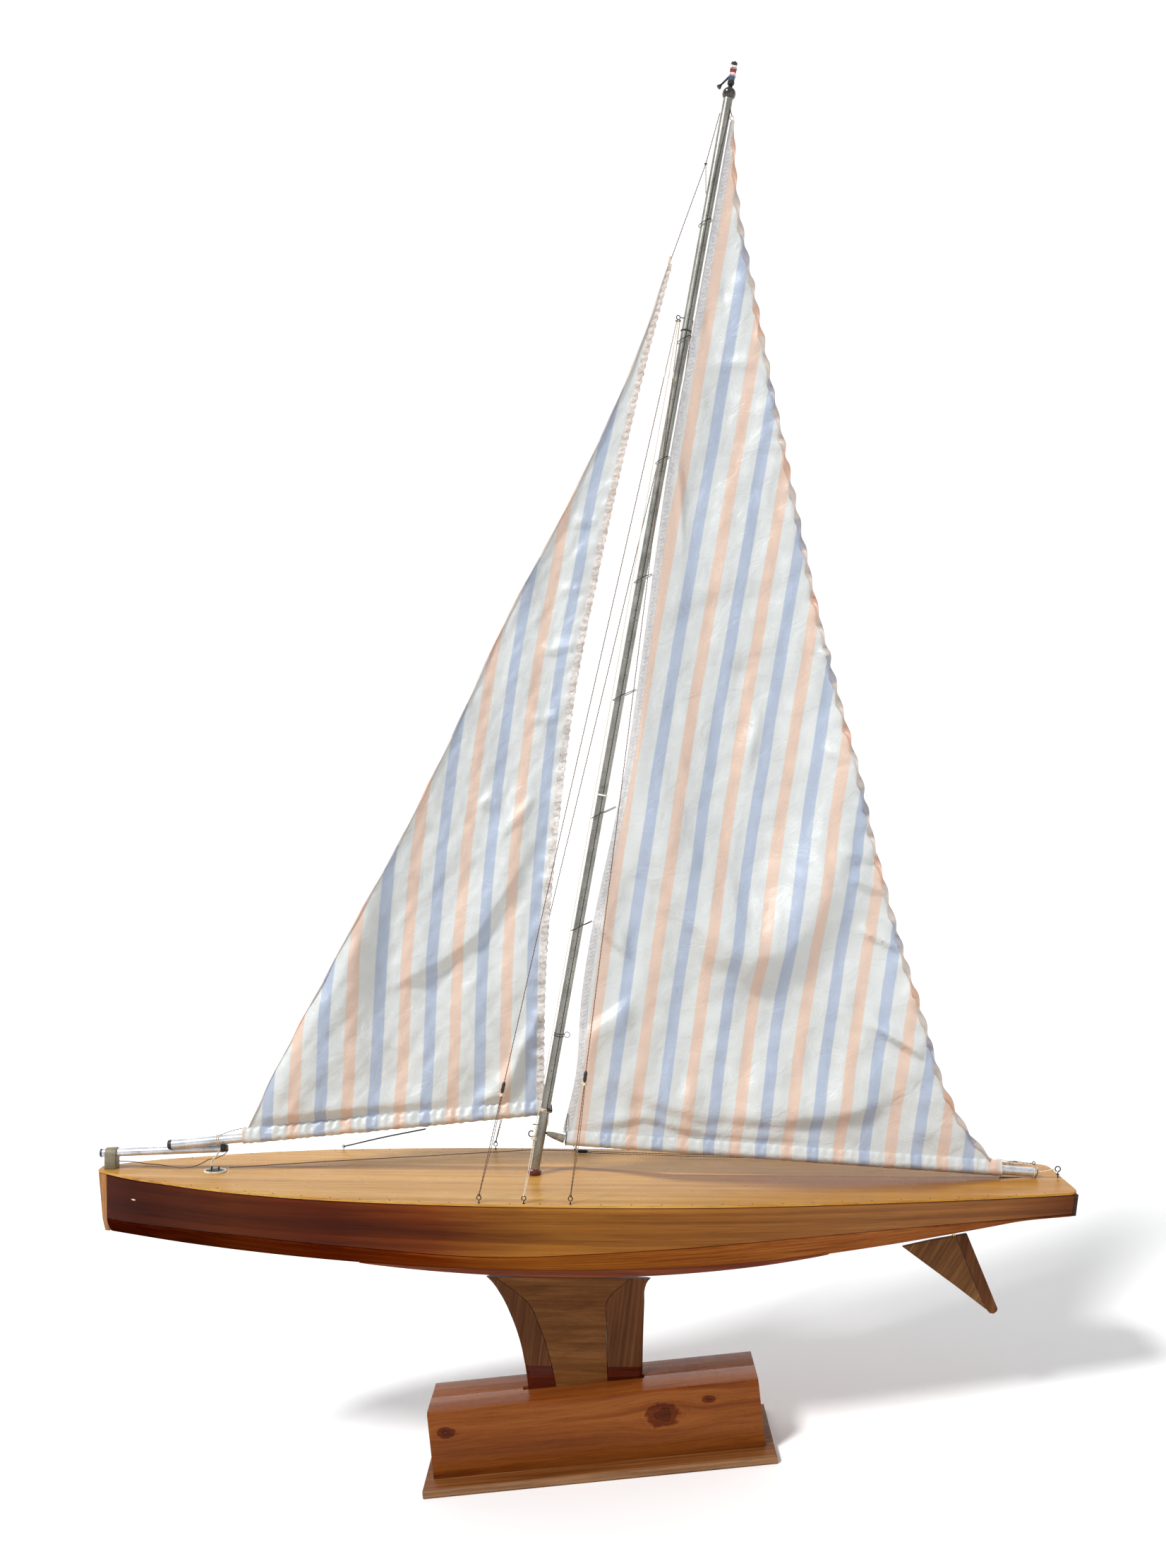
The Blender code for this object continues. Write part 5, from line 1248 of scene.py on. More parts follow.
(x0, z0), (x1, z1) = BOW_TUBE
tube_start, tube_end = Vector((x0, 0.0, z0)), Vector((x1, 0.0, z1))
tube_along = (tube_end - tube_start).normalized()
build = Build()
build.pipe(tube_start, tube_end, BOW_TUBE_RADIUS, BOW_TUBE_RADIUS - TUBE_WALL, bright_tube, 36, 10)
build.lathe([(0.0, 0.004), (-0.0002, 0.0053), (0.0024, 0.0055), (0.0028, 0.0052)], tube_start, tube_along,
            black_plain, 28)
build.finish("bow_spar", "yacht", ["bow_tube"])
build = Build()
build.lathe([(-0.008, 0.0038), (0.0003, 0.0039), (0.0003, 0.005), (0.0012, 0.0051), (0.0022, 0.0049),
             (0.003, 0.0042), (0.0034, 0.0032)], tube_end, tube_along, black_gloss, 28)
build.lathe([(0.0, 0.0012), (0.0002, 0.004), (0.004, 0.0041), (0.0044, 0.0012)],
            tube_start + tube_along * 0.0006, tube_along, black_plain, 24)
build.finish("bow_spar_plug", "yacht", ["bow_tube_plug"])

base = sheer(SADDLE[0]) - 0.0002
rings = []
for x in spaced(*SADDLE, 5):
    crown = z0 + (z1 - z0) * (x - x0) / (x1 - x0)
    arc = [(x, SADDLE_HALF_WIDTH * cos(pi * i / 16), crown + 0.007 * sin(pi * i / 16)) for i in range(17)]
    rings.append([(x, SADDLE_HALF_WIDTH, base)] + arc + [(x, -SADDLE_HALF_WIDTH, base)])
build = Build()
build.grid(rings, saddle_grey, caps=True)
build.finish("bow_saddle_block", "yacht", ["bow_saddle"], bevel=0.0007)

centre = Vector((0.155, -0.009, sheer(0.155) + 0.0001))
build = Build()
for look, profile in ((dark_metal, [(0.0, 0.97), (0.0014, 0.97), (0.0018, 0.9), (0.0019, 0.2)]),
                      (cream_paint, [(0.0, 0.96), (0.0, 1.04), (0.0012, 1.05), (0.0022, 1.01), (0.0024, 0.95),
                                     (0.0018, 0.9)])):
    rows = [[centre + Vector((0.014 * size * cos(2 * pi * i / 40), 0.011 * size * sin(2 * pi * i / 40),
                              height))
             for i in range(40)] for height, size in profile]
    build.grid(rows, look, caps=look is dark_metal, around=look is not dark_metal)
for x in (-0.0045, 0.005):
    screw_eye(build, centre + Vector((x, 0.0, 0.0012)), UPWARD, ABEAM, 0.0016, 0.0021, 0.0006)
for x, y in ((-0.009, 0.0), (0.01, 0.0)):
    build.lathe([(0.0, 0.0013), (0.0006, 0.0013), (0.001, 0.0006)], centre + Vector((x, y, 0.0016)), UPWARD,
                steel, 14)
build.finish("deck_plate", "yacht", ["jib_deck_plate"])

hook = [(0.15, -0.006, 0.0048), (0.15, -0.006, 0.0085), (0.1488, -0.005, 0.0118), (0.15, -0.0042, 0.0148),
        (0.1535, -0.006, 0.019), (0.158, -0.0085, 0.025), (0.1615, -0.0098, 0.032)]
build = Build()
build.tube(smooth_route(hook, 48), 0.001, cream_paint, 12)
build.finish("pivot_hook", "yacht", ["jib_pivot_hook"])


# ---------------------------------------------------------------- running lines

build = Build()
eye_x = 1.2645
screw_eye(build, (eye_x, 0.0, sheer(eye_x) - 0.0002), UPWARD, AFTWARD, 0.0081, 0.0034, 0.0008)
build.ring((eye_x, 0.0, sheer(eye_x) + 0.0042), 0.0016, 0.0006, dark_wire)
build.finish("stern_ring", "yacht", ["stern_eye"])

build = Build()
build.run([(1.2598, 0.0, 0.0139), (1.248, 0.0, 0.0112), (1.2366, 0.0, 0.0098)], 40, 0.0009, cord_cream, 0.006,
          8)
mainsheet = build.finish("mainsheet_line", None, ["mainsheet"])
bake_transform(mainsheet)

build = Build()
build.run([(0.3015, 0.1165, 0.0045), (0.3655, 0.064, 0.031), (0.4304, 0.0107, 0.056)], 150, 0.0011,
           cord_black)
jib_sheet = build.finish("jib_sheet_line", None, ["jib_sheet"])
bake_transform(jib_sheet)

build = Build()
start_ring = Vector((0.3015, 0.1165, sheer(0.3) - 0.0002))
screw_eye(build, start_ring, UPWARD, AFTWARD, 0.0022, 0.0018, 0.0005)
points = [(0.171, 0.001), (0.3, 0.041), (0.44, 0.079), (0.565, 0.1135), (0.63, 0.1105), (0.65, 0.1093),
          (0.77, 0.098), (1.01, 0.0795), (1.215, 0.0645), (1.233, 0.0628), (1.25, 0.06)]
deck_route = [Vector((x, y, sheer(x) + 0.003)) for x, y in points]
for a, b in zip(deck_route, deck_route[1:]):
    build.rope(straight(a, b, 0.0016), 0.0006, cord_brown)
lower = [Vector((p.x, p.y - 0.0042, p.z - 0.0012)) for p in deck_route[4:9]]
for a, b in zip(lower, lower[1:]):
    build.rope(straight(a, b, 0.0016), 0.0005, cord_black)
for x in (0.6385, 1.224):
    here = Vector((x, float(np.interp(x, [p[0] for p in points], [p[1] for p in points])), sheer(x) + 0.003))
    bowsie(build, here, (1.0, -0.085, 0.0))
    build.knot(here + Vector((0.0092, -0.0008, 0.0006)), 0.0027, cord_cream, 0.3)
screw_eye(build, (1.2515, 0.06, sheer(1.25) - 0.0002), UPWARD, AFTWARD, 0.0018, 0.0018, 0.0006)
build.finish("deck_line_cord", "yacht", ["deck_line"])


# ---------------------------------------------------------------- sails

def fold(x, z, line, height, above, below):
    """A long ridge: line holds (x, z) points; it falls off gently above and steeply below, or the reverse."""
    xs, zs = np.array(line, float).T
    slope = np.interp(x, xs, np.gradient(zs, xs))
    off = (z - np.interp(x, xs, zs)) / np.sqrt(1 + slope ** 2)
    fade = 0.3 * (xs[-1] - xs[0])
    ends = np.clip((x - xs[0]) / fade, 0, 1) * np.clip((xs[-1] - x) / fade, 0, 1)
    ends = ends * ends * (3 - 2 * ends)
    return height * ends * np.exp(-(off / np.where(off > 0, above, below)) ** 2)


def dent(x, z, height, place, size, turn):
    """A soft bump or hollow with two half sizes, turned by an angle."""
    dx, dz = x - place[0], z - place[1]
    a, b = dx * cos(turn) + dz * sin(turn), dz * cos(turn) - dx * sin(turn)
    return height * np.exp(-(a / size[0]) ** 2 - (b / size[1]) ** 2)


def ripple(x, z, waves, seed):
    """Soft unevenness of cloth with about that many waves a metre."""
    draw = np.random.default_rng(seed)
    total = 0.0
    for _ in range(14):
        angle, phase, size = draw.uniform(0, pi), draw.uniform(0, 2 * pi), draw.uniform(0.55, 1.6)
        total = total + np.sin(2 * pi * waves * size * (x * cos(angle) + z * sin(angle)) + phase)
    return total / sqrt(14)


# The place of one stripe by height, and half the distance to the next of its colour.
MAIN_REF = fair_curve([(0.06, 0.6375), (0.5, 0.696), (1.0, 0.779), (1.3, 0.8275)])
MAIN_HALF = fair_curve([(0.06, 0.0343), (0.5, 0.0348), (1.0, 0.0338), (1.3, 0.0336)])
JIB_REF = fair_curve([(0.1, 0.57), (0.3, 0.5725), (0.5, 0.5868), (0.65, 0.603), (0.8, 0.63), (0.9, 0.6475),
                 (1.0, 0.67), (1.2, 0.722)])
JIB_HALF = fair_curve([(0.1, 0.0345), (0.3, 0.0334), (0.5, 0.0321), (0.65, 0.0305), (0.8, 0.031),
                       (1.2, 0.031)])


def main_stripe(x, z):
    """Stripe number: even at a peach stripe, odd at a blue one."""
    return (x - MAIN_REF(z)) / MAIN_HALF(z)


def jib_stripe(x, z):
    """Stripe number, as the mainsail's."""
    return 1 + (x - JIB_REF(z)) / JIB_HALF(z)


# Folds as (height, reach above, reach below, points) and dents as (height, place, half sizes, turn), to port.
MAIN_FOLDS = [
    (0.014, 0.066, 0.034, [(0.66, 0.56), (0.695, 0.5), (0.74, 0.42), (0.8, 0.33), (0.86, 0.29), (0.91, 0.31),
                            (0.96, 0.36), (1.01, 0.42), (1.03, 0.45)]),
    (0.006, 0.036, 0.016, [(0.62, 0.2), (0.66, 0.155), (0.7, 0.115), (0.75, 0.095), (0.8, 0.085),
                            (0.86, 0.08), (0.9, 0.078), (0.96, 0.085), (1.02, 0.1), (1.06, 0.12),
                            (1.11, 0.155)]),
    (0.0045, 0.02, 0.006, [(0.635, 0.352), (0.655, 0.335), (0.68, 0.31), (0.71, 0.285)]),
    (0.0045, 0.007, 0.026, [(0.625, 0.165), (0.66, 0.195), (0.715, 0.235)]),
    (0.003, 0.012, 0.005, [(0.61, 0.058), (0.66, 0.066), (0.72, 0.078), (0.8, 0.055), (0.9, 0.05),
                            (0.99, 0.045)]),
    (0.0038, 0.01, 0.004, [(1.01, 0.205), (1.04, 0.19), (1.1, 0.155)]),
    (0.0032, 0.01, 0.004, [(1.00, 0.325), (1.055, 0.305)]),
    (0.003, 0.01, 0.004, [(0.985, 0.395), (1.042, 0.375)]),
    (0.0028, 0.01, 0.004, [(0.975, 0.43), (1.03, 0.418)]),
    (0.0022, 0.01, 0.004, [(0.95, 0.56), (1.0, 0.55)]),
    (0.002, 0.01, 0.004, [(0.93, 0.7), (0.965, 0.685)]),
    (0.0022, 0.006, 0.012, [(0.748, 0.965), (0.757, 0.945), (0.768, 0.9), (0.772, 0.88)]),
    (0.0026, 0.035, 0.018, [(0.7, 0.73), (0.77, 0.765), (0.84, 0.79), (0.92, 0.8)])]
MAIN_DENTS = [(0.0035, (0.862, 0.578), (0.01, 0.04), -0.25), (-0.003, (0.85, 0.665), (0.018, 0.022), 0.0),
              (0.0026, (0.84, 1.17), (0.012, 0.03), -0.2), (0.0028, (0.835, 1.075), (0.032, 0.009), 0.0),
              (-0.0018, (0.8, 1.13), (0.01, 0.02), 0.0), (-0.0016, (0.822, 1.17), (0.006, 0.012), 0.0)]
JIB_FOLDS = [
    (0.0085, 0.016, 0.075, [(0.19, 0.045), (0.2, 0.062), (0.25, 0.14), (0.3, 0.215), (0.345, 0.3),
                            (0.37, 0.36), (0.39, 0.42)]),
    (0.005, 0.04, 0.007, [(0.36, 0.235), (0.39, 0.25), (0.45, 0.28), (0.5, 0.32), (0.55, 0.4), (0.59, 0.47),
                            (0.605, 0.5)]),
    (0.003, 0.008, 0.005, [(0.52, 0.43), (0.53, 0.45), (0.56, 0.48), (0.575, 0.5)]),
    (0.0022, 0.009, 0.004, [(0.56, 0.6), (0.615, 0.606)]),
    (0.0022, 0.009, 0.004, [(0.575, 0.69), (0.633, 0.7)]),
    (0.0022, 0.009, 0.004, [(0.6, 0.772), (0.648, 0.775)]),
    (0.002, 0.009, 0.004, [(0.615, 0.86), (0.665, 0.868)]),
    (0.006, 0.01, 0.02, [(0.485, 0.075), (0.505, 0.09), (0.545, 0.13), (0.565, 0.155)]),
    (0.0045, 0.007, 0.014, [(0.54, 0.15), (0.56, 0.17), (0.585, 0.21)]),
    (0.003, 0.02, 0.007, [(0.25, 0.078), (0.33, 0.085), (0.42, 0.088), (0.5, 0.082)])]
JIB_DENTS = [(0.0034, (0.506, 0.492), (0.012, 0.006), 0.7), (0.0034, (0.524, 0.489), (0.012, 0.006), -0.8)]


def relief(x, z, folds, dents):
    """All the folds and dents of a sail together."""
    total = sum(fold(x, z, line, height, above, below) for height, above, below, line in folds)
    return total + sum(dent(x, z, *row) for row in dents)


def ease_in(value, reach):
    """From 0 at no distance to 1 at the reach, smoothly."""
    part = np.clip(value / reach, 0, 1)
    return part * part * (3 - 2 * part)


def jib_turn(x, z):
    """How far the jib's flat plane lies to starboard, as its boom is swung a little about its stay."""
    (foot_x, foot_y, foot_z), (top_x, _, top_z) = JIB_PIVOT, JIB_HALYARD_TOP
    aft_x, aft_y, aft_z = JIB_BOOM[1]
    stay = lambda height: foot_x + (top_x - foot_x) * (height - foot_z) / (top_z - foot_z)
    swing = (aft_y - foot_y) / (aft_x - stay(aft_z))
    return foot_y * (1 - (z - foot_z) / (top_z - foot_z)) + swing * (x - stay(z))


JIB_ENDS = tuple((x, z) for x, _, z in JIB_BOOM)
FLUTTER, CLOTH_LIFT, STRIPE_WIDTH = 0.0022, 0.0012, 0.034
GATHER, GATHER_STRAY, GATHER_SWAY = 0.0092, 1.5, 0.0105
# squat presses the broad ripples flat, depth scales the folds, and the eases are distances from an edge.
MAIN = dict(boom=MAIN_BOOM, radius=BOOM_RADIUS, luff=main_luff, leech=main_leech, feet=(0.054, 0.018),
            head=MAIN_HEAD_Z, camber=MAIN_CAMBER, turn=lambda x, z: 0.0, folds=MAIN_FOLDS, dents=MAIN_DENTS,
            depth=2.3, foot_ease=0.018, held_luff=True, squat=0.6, narrow=0.12,
            ripples=((0.0026, 9.0, 3), (0.001, 24.0, 6), (0.0003, 60.0, 4)),
            wave=0.036, stray=(2.2, 7.0, 5), leech_ease=0.028, flutter_narrow=0.1)
JIB = dict(boom=JIB_ENDS, radius=JIB_BOOM_RADIUS, luff=jib_luff, leech=jib_leech, feet=(0.053, 0.088),
           head=JIB_HEAD_Z, camber=JIB_CAMBER, turn=jib_turn, folds=JIB_FOLDS, dents=JIB_DENTS, depth=2.1,
           foot_ease=0.02, held_luff=False, squat=0.7, narrow=0.1,
           ripples=((0.0024, 10.0, 13), (0.0009, 26.0, 16), (0.0003, 60.0, 14)),
           wave=0.03, stray=(2.0, 8.0, 15), leech_ease=0.03, flutter_narrow=0.08)


def surface(sail, u, v, low=0.0):
    """A sail's surface as arrays: u across from the luff, v up from the boom."""
    above, head = sail["radius"] + 4 * GAP + low, sail["head"]
    foot_luff = line_at(sail["boom"], sail["luff"](sail["feet"][0])) + above
    foot_leech = line_at(sail["boom"], sail["leech"](sail["feet"][1])) + above
    luff_z, leech_z = foot_luff + (head - foot_luff) * v, foot_leech + (head - foot_leech) * v
    x0, x1 = sail["luff"](luff_z), sail["leech"](leech_z)
    x, z = x0 + (x1 - x0) * u, luff_z + (leech_z - luff_z) * u
    chord = np.hypot(x1 - x0, leech_z - luff_z)
    fullness = np.sin(pi * np.clip(u, 0, 1) ** 0.8) * np.minimum(1, 4 * v) ** 0.7
    y = sail["turn"](x, z) + sail["camber"] * chord * fullness
    from_luff, from_leech, from_foot = u * chord, (1 - u) * chord, v * (head - foot_luff)
    held, free = 1.0, 1.0
    if sail["held_luff"]:
        held, free = ease_in(from_luff, 0.015), ease_in(from_luff, 0.05)
    folds = relief(x, z, sail["folds"], sail["dents"])
    y = y - sail["depth"] * folds * held * ease_in(from_foot, sail["foot_ease"])
    (broad, waves, seed), *finer = sail["ripples"]
    crumple = broad * ripple(x, z * sail["squat"], waves, seed)
    for size, waves, seed in finer:
        crumple = crumple + size * ripple(x, z, waves, seed)
    y += free * ease_in(from_foot, 0.03) * ease_in(chord, sail["narrow"]) * crumple
    size, waves, seed = sail["stray"]
    phase = 2 * pi * z / sail["wave"] + size * ripple(x * 0, z, waves, seed)
    flutter = np.sin(phase) * (1 - ease_in(from_leech, sail["leech_ease"]))
    y += FLUTTER * flutter * ease_in(from_foot, 0.05) * ease_in(chord, sail["flutter_narrow"])
    return x, y, z, chord


def sail_point(sail, u, v):
    """One point of a sail."""
    return Vector([float(part) for part in surface(sail, np.array(u), np.array(v))[:3]])


def panel(name, body, replaces, sail, stripe, columns, rows):
    """A sail's cloth: two faces and a rim."""
    u, v = np.linspace(0, 1, columns + 1)[None, :], np.linspace(0, 1, rows + 1)[:, None]
    x, y, z, _ = surface(sail, u, v, CLOTH_LIFT)
    number = stripe(x, z)
    across = number * STRIPE_WIDTH
    lay = np.stack([number, z, across], -1)
    build = Build()
    count = (columns + 1) * (rows + 1)
    for shift in (-0.0003, 0.0003):
        build.grid(np.stack([x, y + shift, z], -1).tolist(), sail_look, lay.tolist(), closed=False)
    wide = columns + 1
    rim = [(r * wide, (r + 1) * wide) for r in range(rows)] + [((r + 1) * wide - 1, (r + 2) * wide - 1)
                                                               for r in range(rows)]
    rim += [(c, c + 1) for c in range(columns)] + [(rows * wide + c, rows * wide + c + 1)
                                                   for c in range(columns)]
    for a, b in rim:
        build.faces.append((a, b, count + b, count + a))
        build.index.append(0)
    return build.finish(name, body, [replaces], sharp=60)


def sleeve(name, body, start, end, radius, peak, stripe, pucker):
    """The foot's sleeve round a boom: a thin double wall, drawn up to the seam above."""
    start, end = Vector(start), Vector(end)
    along = (end - start).normalized()
    up = (Vector(UPWARD) - along * along.z).normalized()
    side = along.cross(up)
    reach, steps, around = (end - start).length, round((end - start).length / 0.0022), 40
    outer, inner, lays = [], [], []
    for i in range(steps + 1):
        distance = reach * i / steps
        centre = start + along * distance
        phase = distance / 0.0125 + 0.9 * noise.noise(Vector((distance * 30, 1.0, 0.0)))
        rim = 0.35 + 0.65 * min(1.0, distance / 0.008, (reach - distance) / 0.008)
        out_row, in_row, lay_row = [], [], []
        for k in range(around):
            angle = 2 * pi * k / around
            lift = max(0.0, cos(angle))
            shape = radius + (peak - radius) * lift ** 6
            gather = pucker * rim * (sin(2 * pi * phase + 1.6 * sin(angle)) * (0.35 + 0.65 * lift)
                                     + 0.8 * noise.noise(Vector((distance * 140, angle * 1.2, 3.0))))
            out_row.append(centre + (up * cos(angle) + side * sin(angle)) * (shape + gather))
            in_row.append(centre + (up * cos(angle) + side * sin(angle)) * (shape + gather * 0.5 - 0.0007))
            number = stripe(centre.x, centre.z)
            lay_row.append((number, centre.z + shape * angle, number * STRIPE_WIDTH))
        outer.append(out_row)
        inner.append(in_row)
        lays.append(lay_row)
    build = Build()
    build.grid(outer + inner[::-1], sleeve_look, lays + lays[::-1], around=True)
    return build.finish(name, body, sharp=60)


def edge_band(build, sail, look, from_luff, width, rows, ruffle=0.0, half=0.0008):
    """A tape folded over a sail's luff or leech."""
    v = np.linspace(0.004, 0.999, rows + 1)[:, None]
    ways = [(-0.001, 0.0), (-0.0005, -half), (width * 0.5, -half), (width - 0.0002, -half * 0.9),
            (width, -half * 0.3),
            (width, half * 0.3), (width - 0.0002, half * 0.9), (width * 0.5, half), (-0.0005, half)]
    distance, push = np.array([[w for w, _ in ways]]), np.array([[p for _, p in ways]])
    chord = surface(sail, np.zeros_like(v), v)[3]
    near = np.minimum(distance, chord * 0.8)
    u = near / chord if from_luff else 1 - near / chord
    x, y, z, _ = surface(sail, u, v)
    wave = np.sin(2 * pi * z / GATHER + GATHER_STRAY * ripple(x * 0, z, 20.0, 21))
    y = y + push + ruffle * wave * np.clip(1 - near / width, 0, 1)
    x = x + 0.5 * ruffle * np.cos(2 * pi * z / GATHER_SWAY) * np.clip(1 - near / width, 0, 1)
    lay = np.stack([near + 0 * z, z, near + 0 * z], -1)
    build.grid(np.stack([x, y, z], -1).tolist(), look, lay.tolist(), caps=True)


def zigzag(build, sail, from_luff, low, high, pitch, ruffle=0.0):
    """A tape's white stitches on both sides."""
    count = round(1.35 / pitch)
    v = np.linspace(0.006, 0.985, count)
    distance = np.where(np.arange(count) % 2 == 0, low, high)
    chord = surface(sail, np.zeros_like(v), v)[3]
    near = np.minimum(distance, chord * 0.6)
    u = near / chord if from_luff else 1 - near / chord
    x, y, z, _ = surface(sail, u, v)
    wave = np.sin(2 * pi * z / GATHER + GATHER_STRAY * ripple(x * 0, z, 20.0,
                                                              21)) * ruffle * (1 - near / 0.009)
    for push in (-0.0008, 0.0008):
        build.tube([Vector(p) for p in np.stack([x, y + wave + push, z], -1)], 0.00032, thread, 5)


mainsail = panel("mainsail_cloth", "main_boom", "mainsail", MAIN, main_stripe, 110, 270)
jib = panel("jib_panel", "jib_boom", "jib", JIB, jib_stripe, 96, 250)

(x0, z0), (x1, z1) = MAIN_BOOM
on_main = lambda x: (x, 0.0, line_at(MAIN_BOOM, x))
on_jib = lambda x: tuple(Vector(JIB_BOOM[0]).lerp(Vector(JIB_BOOM[1]),
                                                  (x - JIB_BOOM[0][0]) / (JIB_BOOM[1][0] - JIB_BOOM[0][0])))
main_sleeve = sleeve("main_foot_sleeve", "main_boom", on_main(0.6175), on_main(1.19), 0.0079, 0.0126,
                     main_stripe, 0.0005)
jib_sleeve = sleeve("jib_foot_sleeve", "jib_boom", on_jib(0.1905), on_jib(0.5865), 0.008, 0.013, jib_stripe,
                    0.00115)

build = Build()
edge_band(build, MAIN, luff_tape_look, True, 0.009, 420, half=0.0006)
zigzag(build, MAIN, True, 0.0022, 0.0072, 0.0027)
main_tape = build.finish("main_luff_tape", "main_boom")

build = Build()
v = np.linspace(0.0, 1.0, 520)
x, y, z, _ = surface(MAIN, np.ones_like(v), v, CLOTH_LIFT)
route = [Vector(p) for p in np.stack([x - 0.0014, y, z], -1)]
lay = list(zip(main_stripe(x, z).tolist(), z.tolist(), x.tolist()))
HEM_RADIUS, HEM_UNEVEN = 0.0046, 0.14
taper = []
for part in v.tolist():
    narrow = 0.55 + 0.45 * min(1.0, (1.0 - part) * 12)
    taper.append(HEM_RADIUS * narrow * (1 + HEM_UNEVEN * noise.noise(Vector((part * 60, 0, 0)))))
build.tube(route, taper, hem_look, 12, flat=0.36, twist=2 * pi / 0.074, lay=lay)
main_hem = build.finish("main_leech_hem", "main_boom", sharp=70)

build = Build()
edge_band(build, JIB, leech_tape_look, False, 0.009, 900, 0.0013)
zigzag(build, JIB, False, 0.002, 0.007, 0.003, 0.0013)
jib_tape = build.finish("jib_leech_tape", "jib_boom")

build = Build()
x, y, z, _ = surface(JIB, np.zeros_like(v), v, CLOTH_LIFT)
lay = list(zip(jib_stripe(x, z).tolist(), z.tolist(), x.tolist()))
build.tube([Vector(p) for p in np.stack([x + 0.0012, y, z], -1)], 0.0017, hem_look, 10, flat=0.55,
           twist=pi / 0.09, lay=lay)
jib_hem = build.finish("jib_luff_hem", "jib_boom", sharp=70)

# Halyards and lashings of both sails.
head = sail_point(JIB, 0.3, 1.0)
joint_place = Vector((0.7956, 0.0, 1.3396))
build = Build()
build.rope(straight(head + Vector((0.0004, 0.0, 0.0006)), joint_place), 0.0006, cord_brown)
build.rope(straight(joint_place, Vector(JIB_HALYARD_TOP) - Vector((0.0004, 0.0, 0.0))), 0.0006, cord_brown)
build.rope(straight(joint_place, at_mast(1.3, 0.0, -0.0068)), 0.0005, cord_brown)
build.knot(joint_place, 0.0018, cord_brown)
build.lathe([(-0.004, 0.001), (-0.0034, 0.0017), (0.003, 0.0019), (0.0036, 0.0012)],
            head + Vector((0.0006, 0, 0.004)), (0.35, 0, 1), cord_cream, 14, wobble=0.2)
build.knot(head + Vector((0.0018, -0.0004, 0.0085)), 0.0019, cord_cream)
build.finish("jib_halyard_cord", "jib_boom", ["jib_halyard"])

build = Build()
build.run([on_jib(0.157)[:2] + (0.0475,), (0.172, -0.0046, 0.0535), (0.1935, -0.0036, 0.059)], 30, 0.0005,
           cord_brown)
for x in (0.1565, 0.159, 0.5905):
    build.ring(on_jib(x), JIB_BOOM_RADIUS + 0.0005, 0.0005, cord_cream, jib_along)
build.run([on_jib(0.5865)[:2] + (0.0935,), on_jib(0.5905)[:2] + (0.0912,), on_jib(0.5918)[:2] + (0.089,)], 14,
           0.0006, cord_cream)
build.finish("jib_lashings", "jib_boom")

build = Build()
clew = Vector((1.185, -0.0012, 0.0272))
tip = boom_end + Vector((0.0016, 0.0, 0.005))
build.run([clew, (1.205, -0.0026, 0.0232), tip + Vector((-0.002, -0.002, 0.0022)), tip], 60, 0.0007,
          cord_cream)
build.run([clew + Vector((0.001, 0.002, -0.004)), (1.207, 0.0018, 0.0205),
           tip + Vector((-0.002, 0.0016, 0.0016)), tip],
                        60, 0.0007, cord_cream)
build.run([(1.188, 0.0, 0.003), (1.212, 0.0, 0.0024), (1.235, 0.0, 0.003), (1.2378, 0.0, 0.0072),
                         tip], 60, 0.0006, cord_brown)
build.ring(boom_end - boom_along * 0.003, BOOM_RADIUS + 0.0006, 0.0006, cord_cream, boom_along)
build.knot(tip, 0.0022, cord_cream)
build.ring(on_main(0.618), 0.0084, 0.0005, cord_black, boom_along)
tack = sail_point(MAIN, 0.0, 0.012)
for side in (-1, 1):
    build.run([tack + Vector((0.003, 0.0014 * side, 0.01)), tack + Vector((0.001, 0.003 * side, 0.0)),
                             Vector((0.6182, 0.008 * side, 0.05))], 24, 0.0006, cord_black)
top = sail_point(MAIN, 0.3, 1.0)
build.ring(top + Vector((0.0, -0.001, 0.003)), 0.0026, 0.0006, cord_cream, ABEAM)
build.rope(straight(top + Vector((0.0002, -0.002, 0.0052)), top + Vector((-0.0022, -0.0026, 0.012))), 0.0006,
           cord_black)
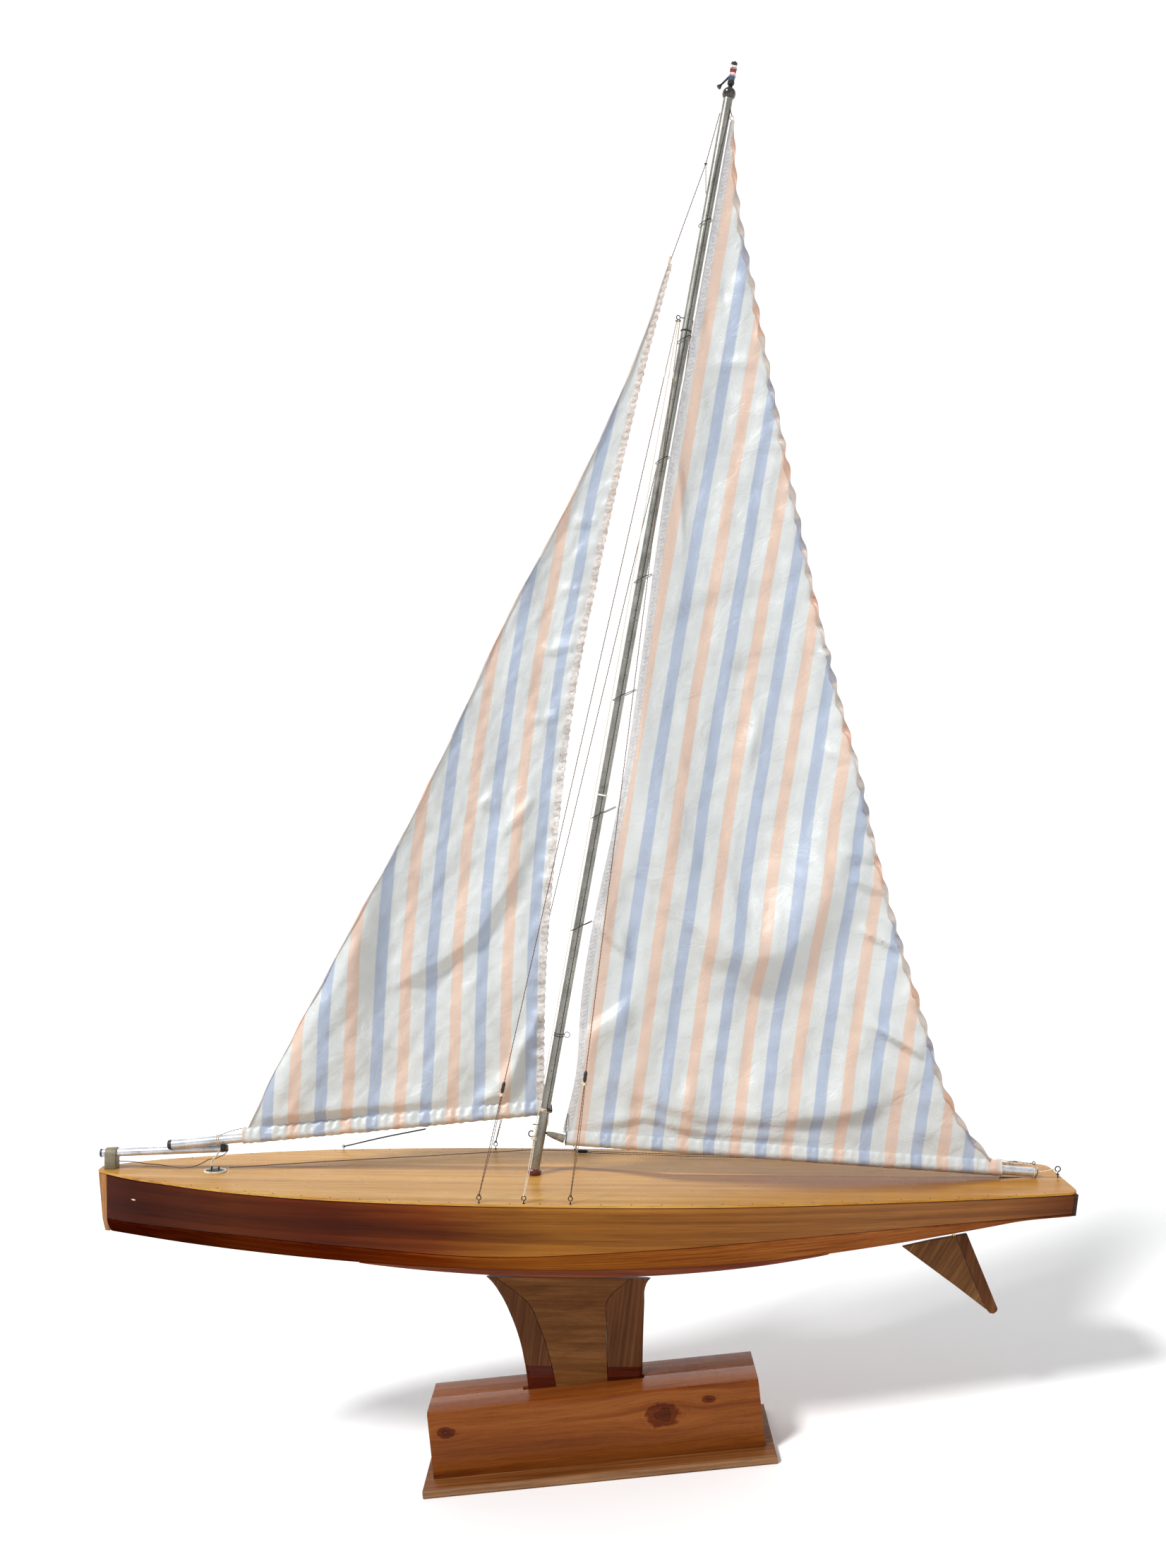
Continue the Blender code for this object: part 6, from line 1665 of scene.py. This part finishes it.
build.finish("main_lashings", "main_boom")


# ---------------------------------------------------------------- room and light

low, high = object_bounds()
floor = bpy.data.objects.new("floor", bpy.data.meshes.new("floor"))
FLOOR_REACH, WALL_PLACE, CURVE_RADIUS, WALL_HEIGHT = 40.0, 3.4, 1.2, 14.0
flat_end = WALL_PLACE - CURVE_RADIUS
profile = [(-FLOOR_REACH, 0.0), (flat_end, 0.0)]
profile += [(flat_end + CURVE_RADIUS * sin(t), CURVE_RADIUS - CURVE_RADIUS * cos(t))
            for t in spaced(0.05, pi / 2, 16)]
profile += [(WALL_PLACE, WALL_HEIGHT)]
floor.data.from_pydata([(x, y, z) for y, z in profile for x in (-FLOOR_REACH, FLOOR_REACH)], [],
                       [(2 * i, 2 * i + 1, 2 * i + 3, 2 * i + 2) for i in range(len(profile) - 1)])
floor.data.shade_smooth()
floor.location.z = low[2] - 0.0004
paper = bpy.data.materials.new("paper")
paper.use_nodes = True
sheet_shader = paper.node_tree.nodes["Principled BSDF"]
sheet_shader.inputs["Base Color"].default_value = (0.9, 0.9, 0.9, 1.0)
sheet_shader.inputs["Roughness"].default_value = 0.9
floor.data.materials.append(paper)
scene.collection.objects.link(floor)

world = bpy.data.worlds.new("studio")
scene.world = world
world.use_nodes = True
world.node_tree.nodes["Background"].inputs["Color"].default_value = (0.97, 0.985, 1.0, 1.0)
world.node_tree.nodes["Background"].inputs["Strength"].default_value = 0.42

AIM = (0.0, 0.0, 0.6)
for name, place, angle, power in (("key", (-1.5, -1.5, 3.2), 12.0, 3.0),
                                  ("fill", (2.4, -2.6, 1.2), 40.0, 0.25),
                                  ("back", (1.6, 2.4, 3.4), 30.0, 0.6)):
    lamp = bpy.data.objects.new(name, bpy.data.lights.new(name, "SUN"))
    lamp.data.angle = radians(angle)
    lamp.data.energy = power
    lamp.location = place
    lamp.rotation_euler = (Vector(AIM) - Vector(place)).to_track_quat("-Z", "Y").to_euler()
    scene.collection.objects.link(lamp)
scene.view_settings.view_transform = "Standard"
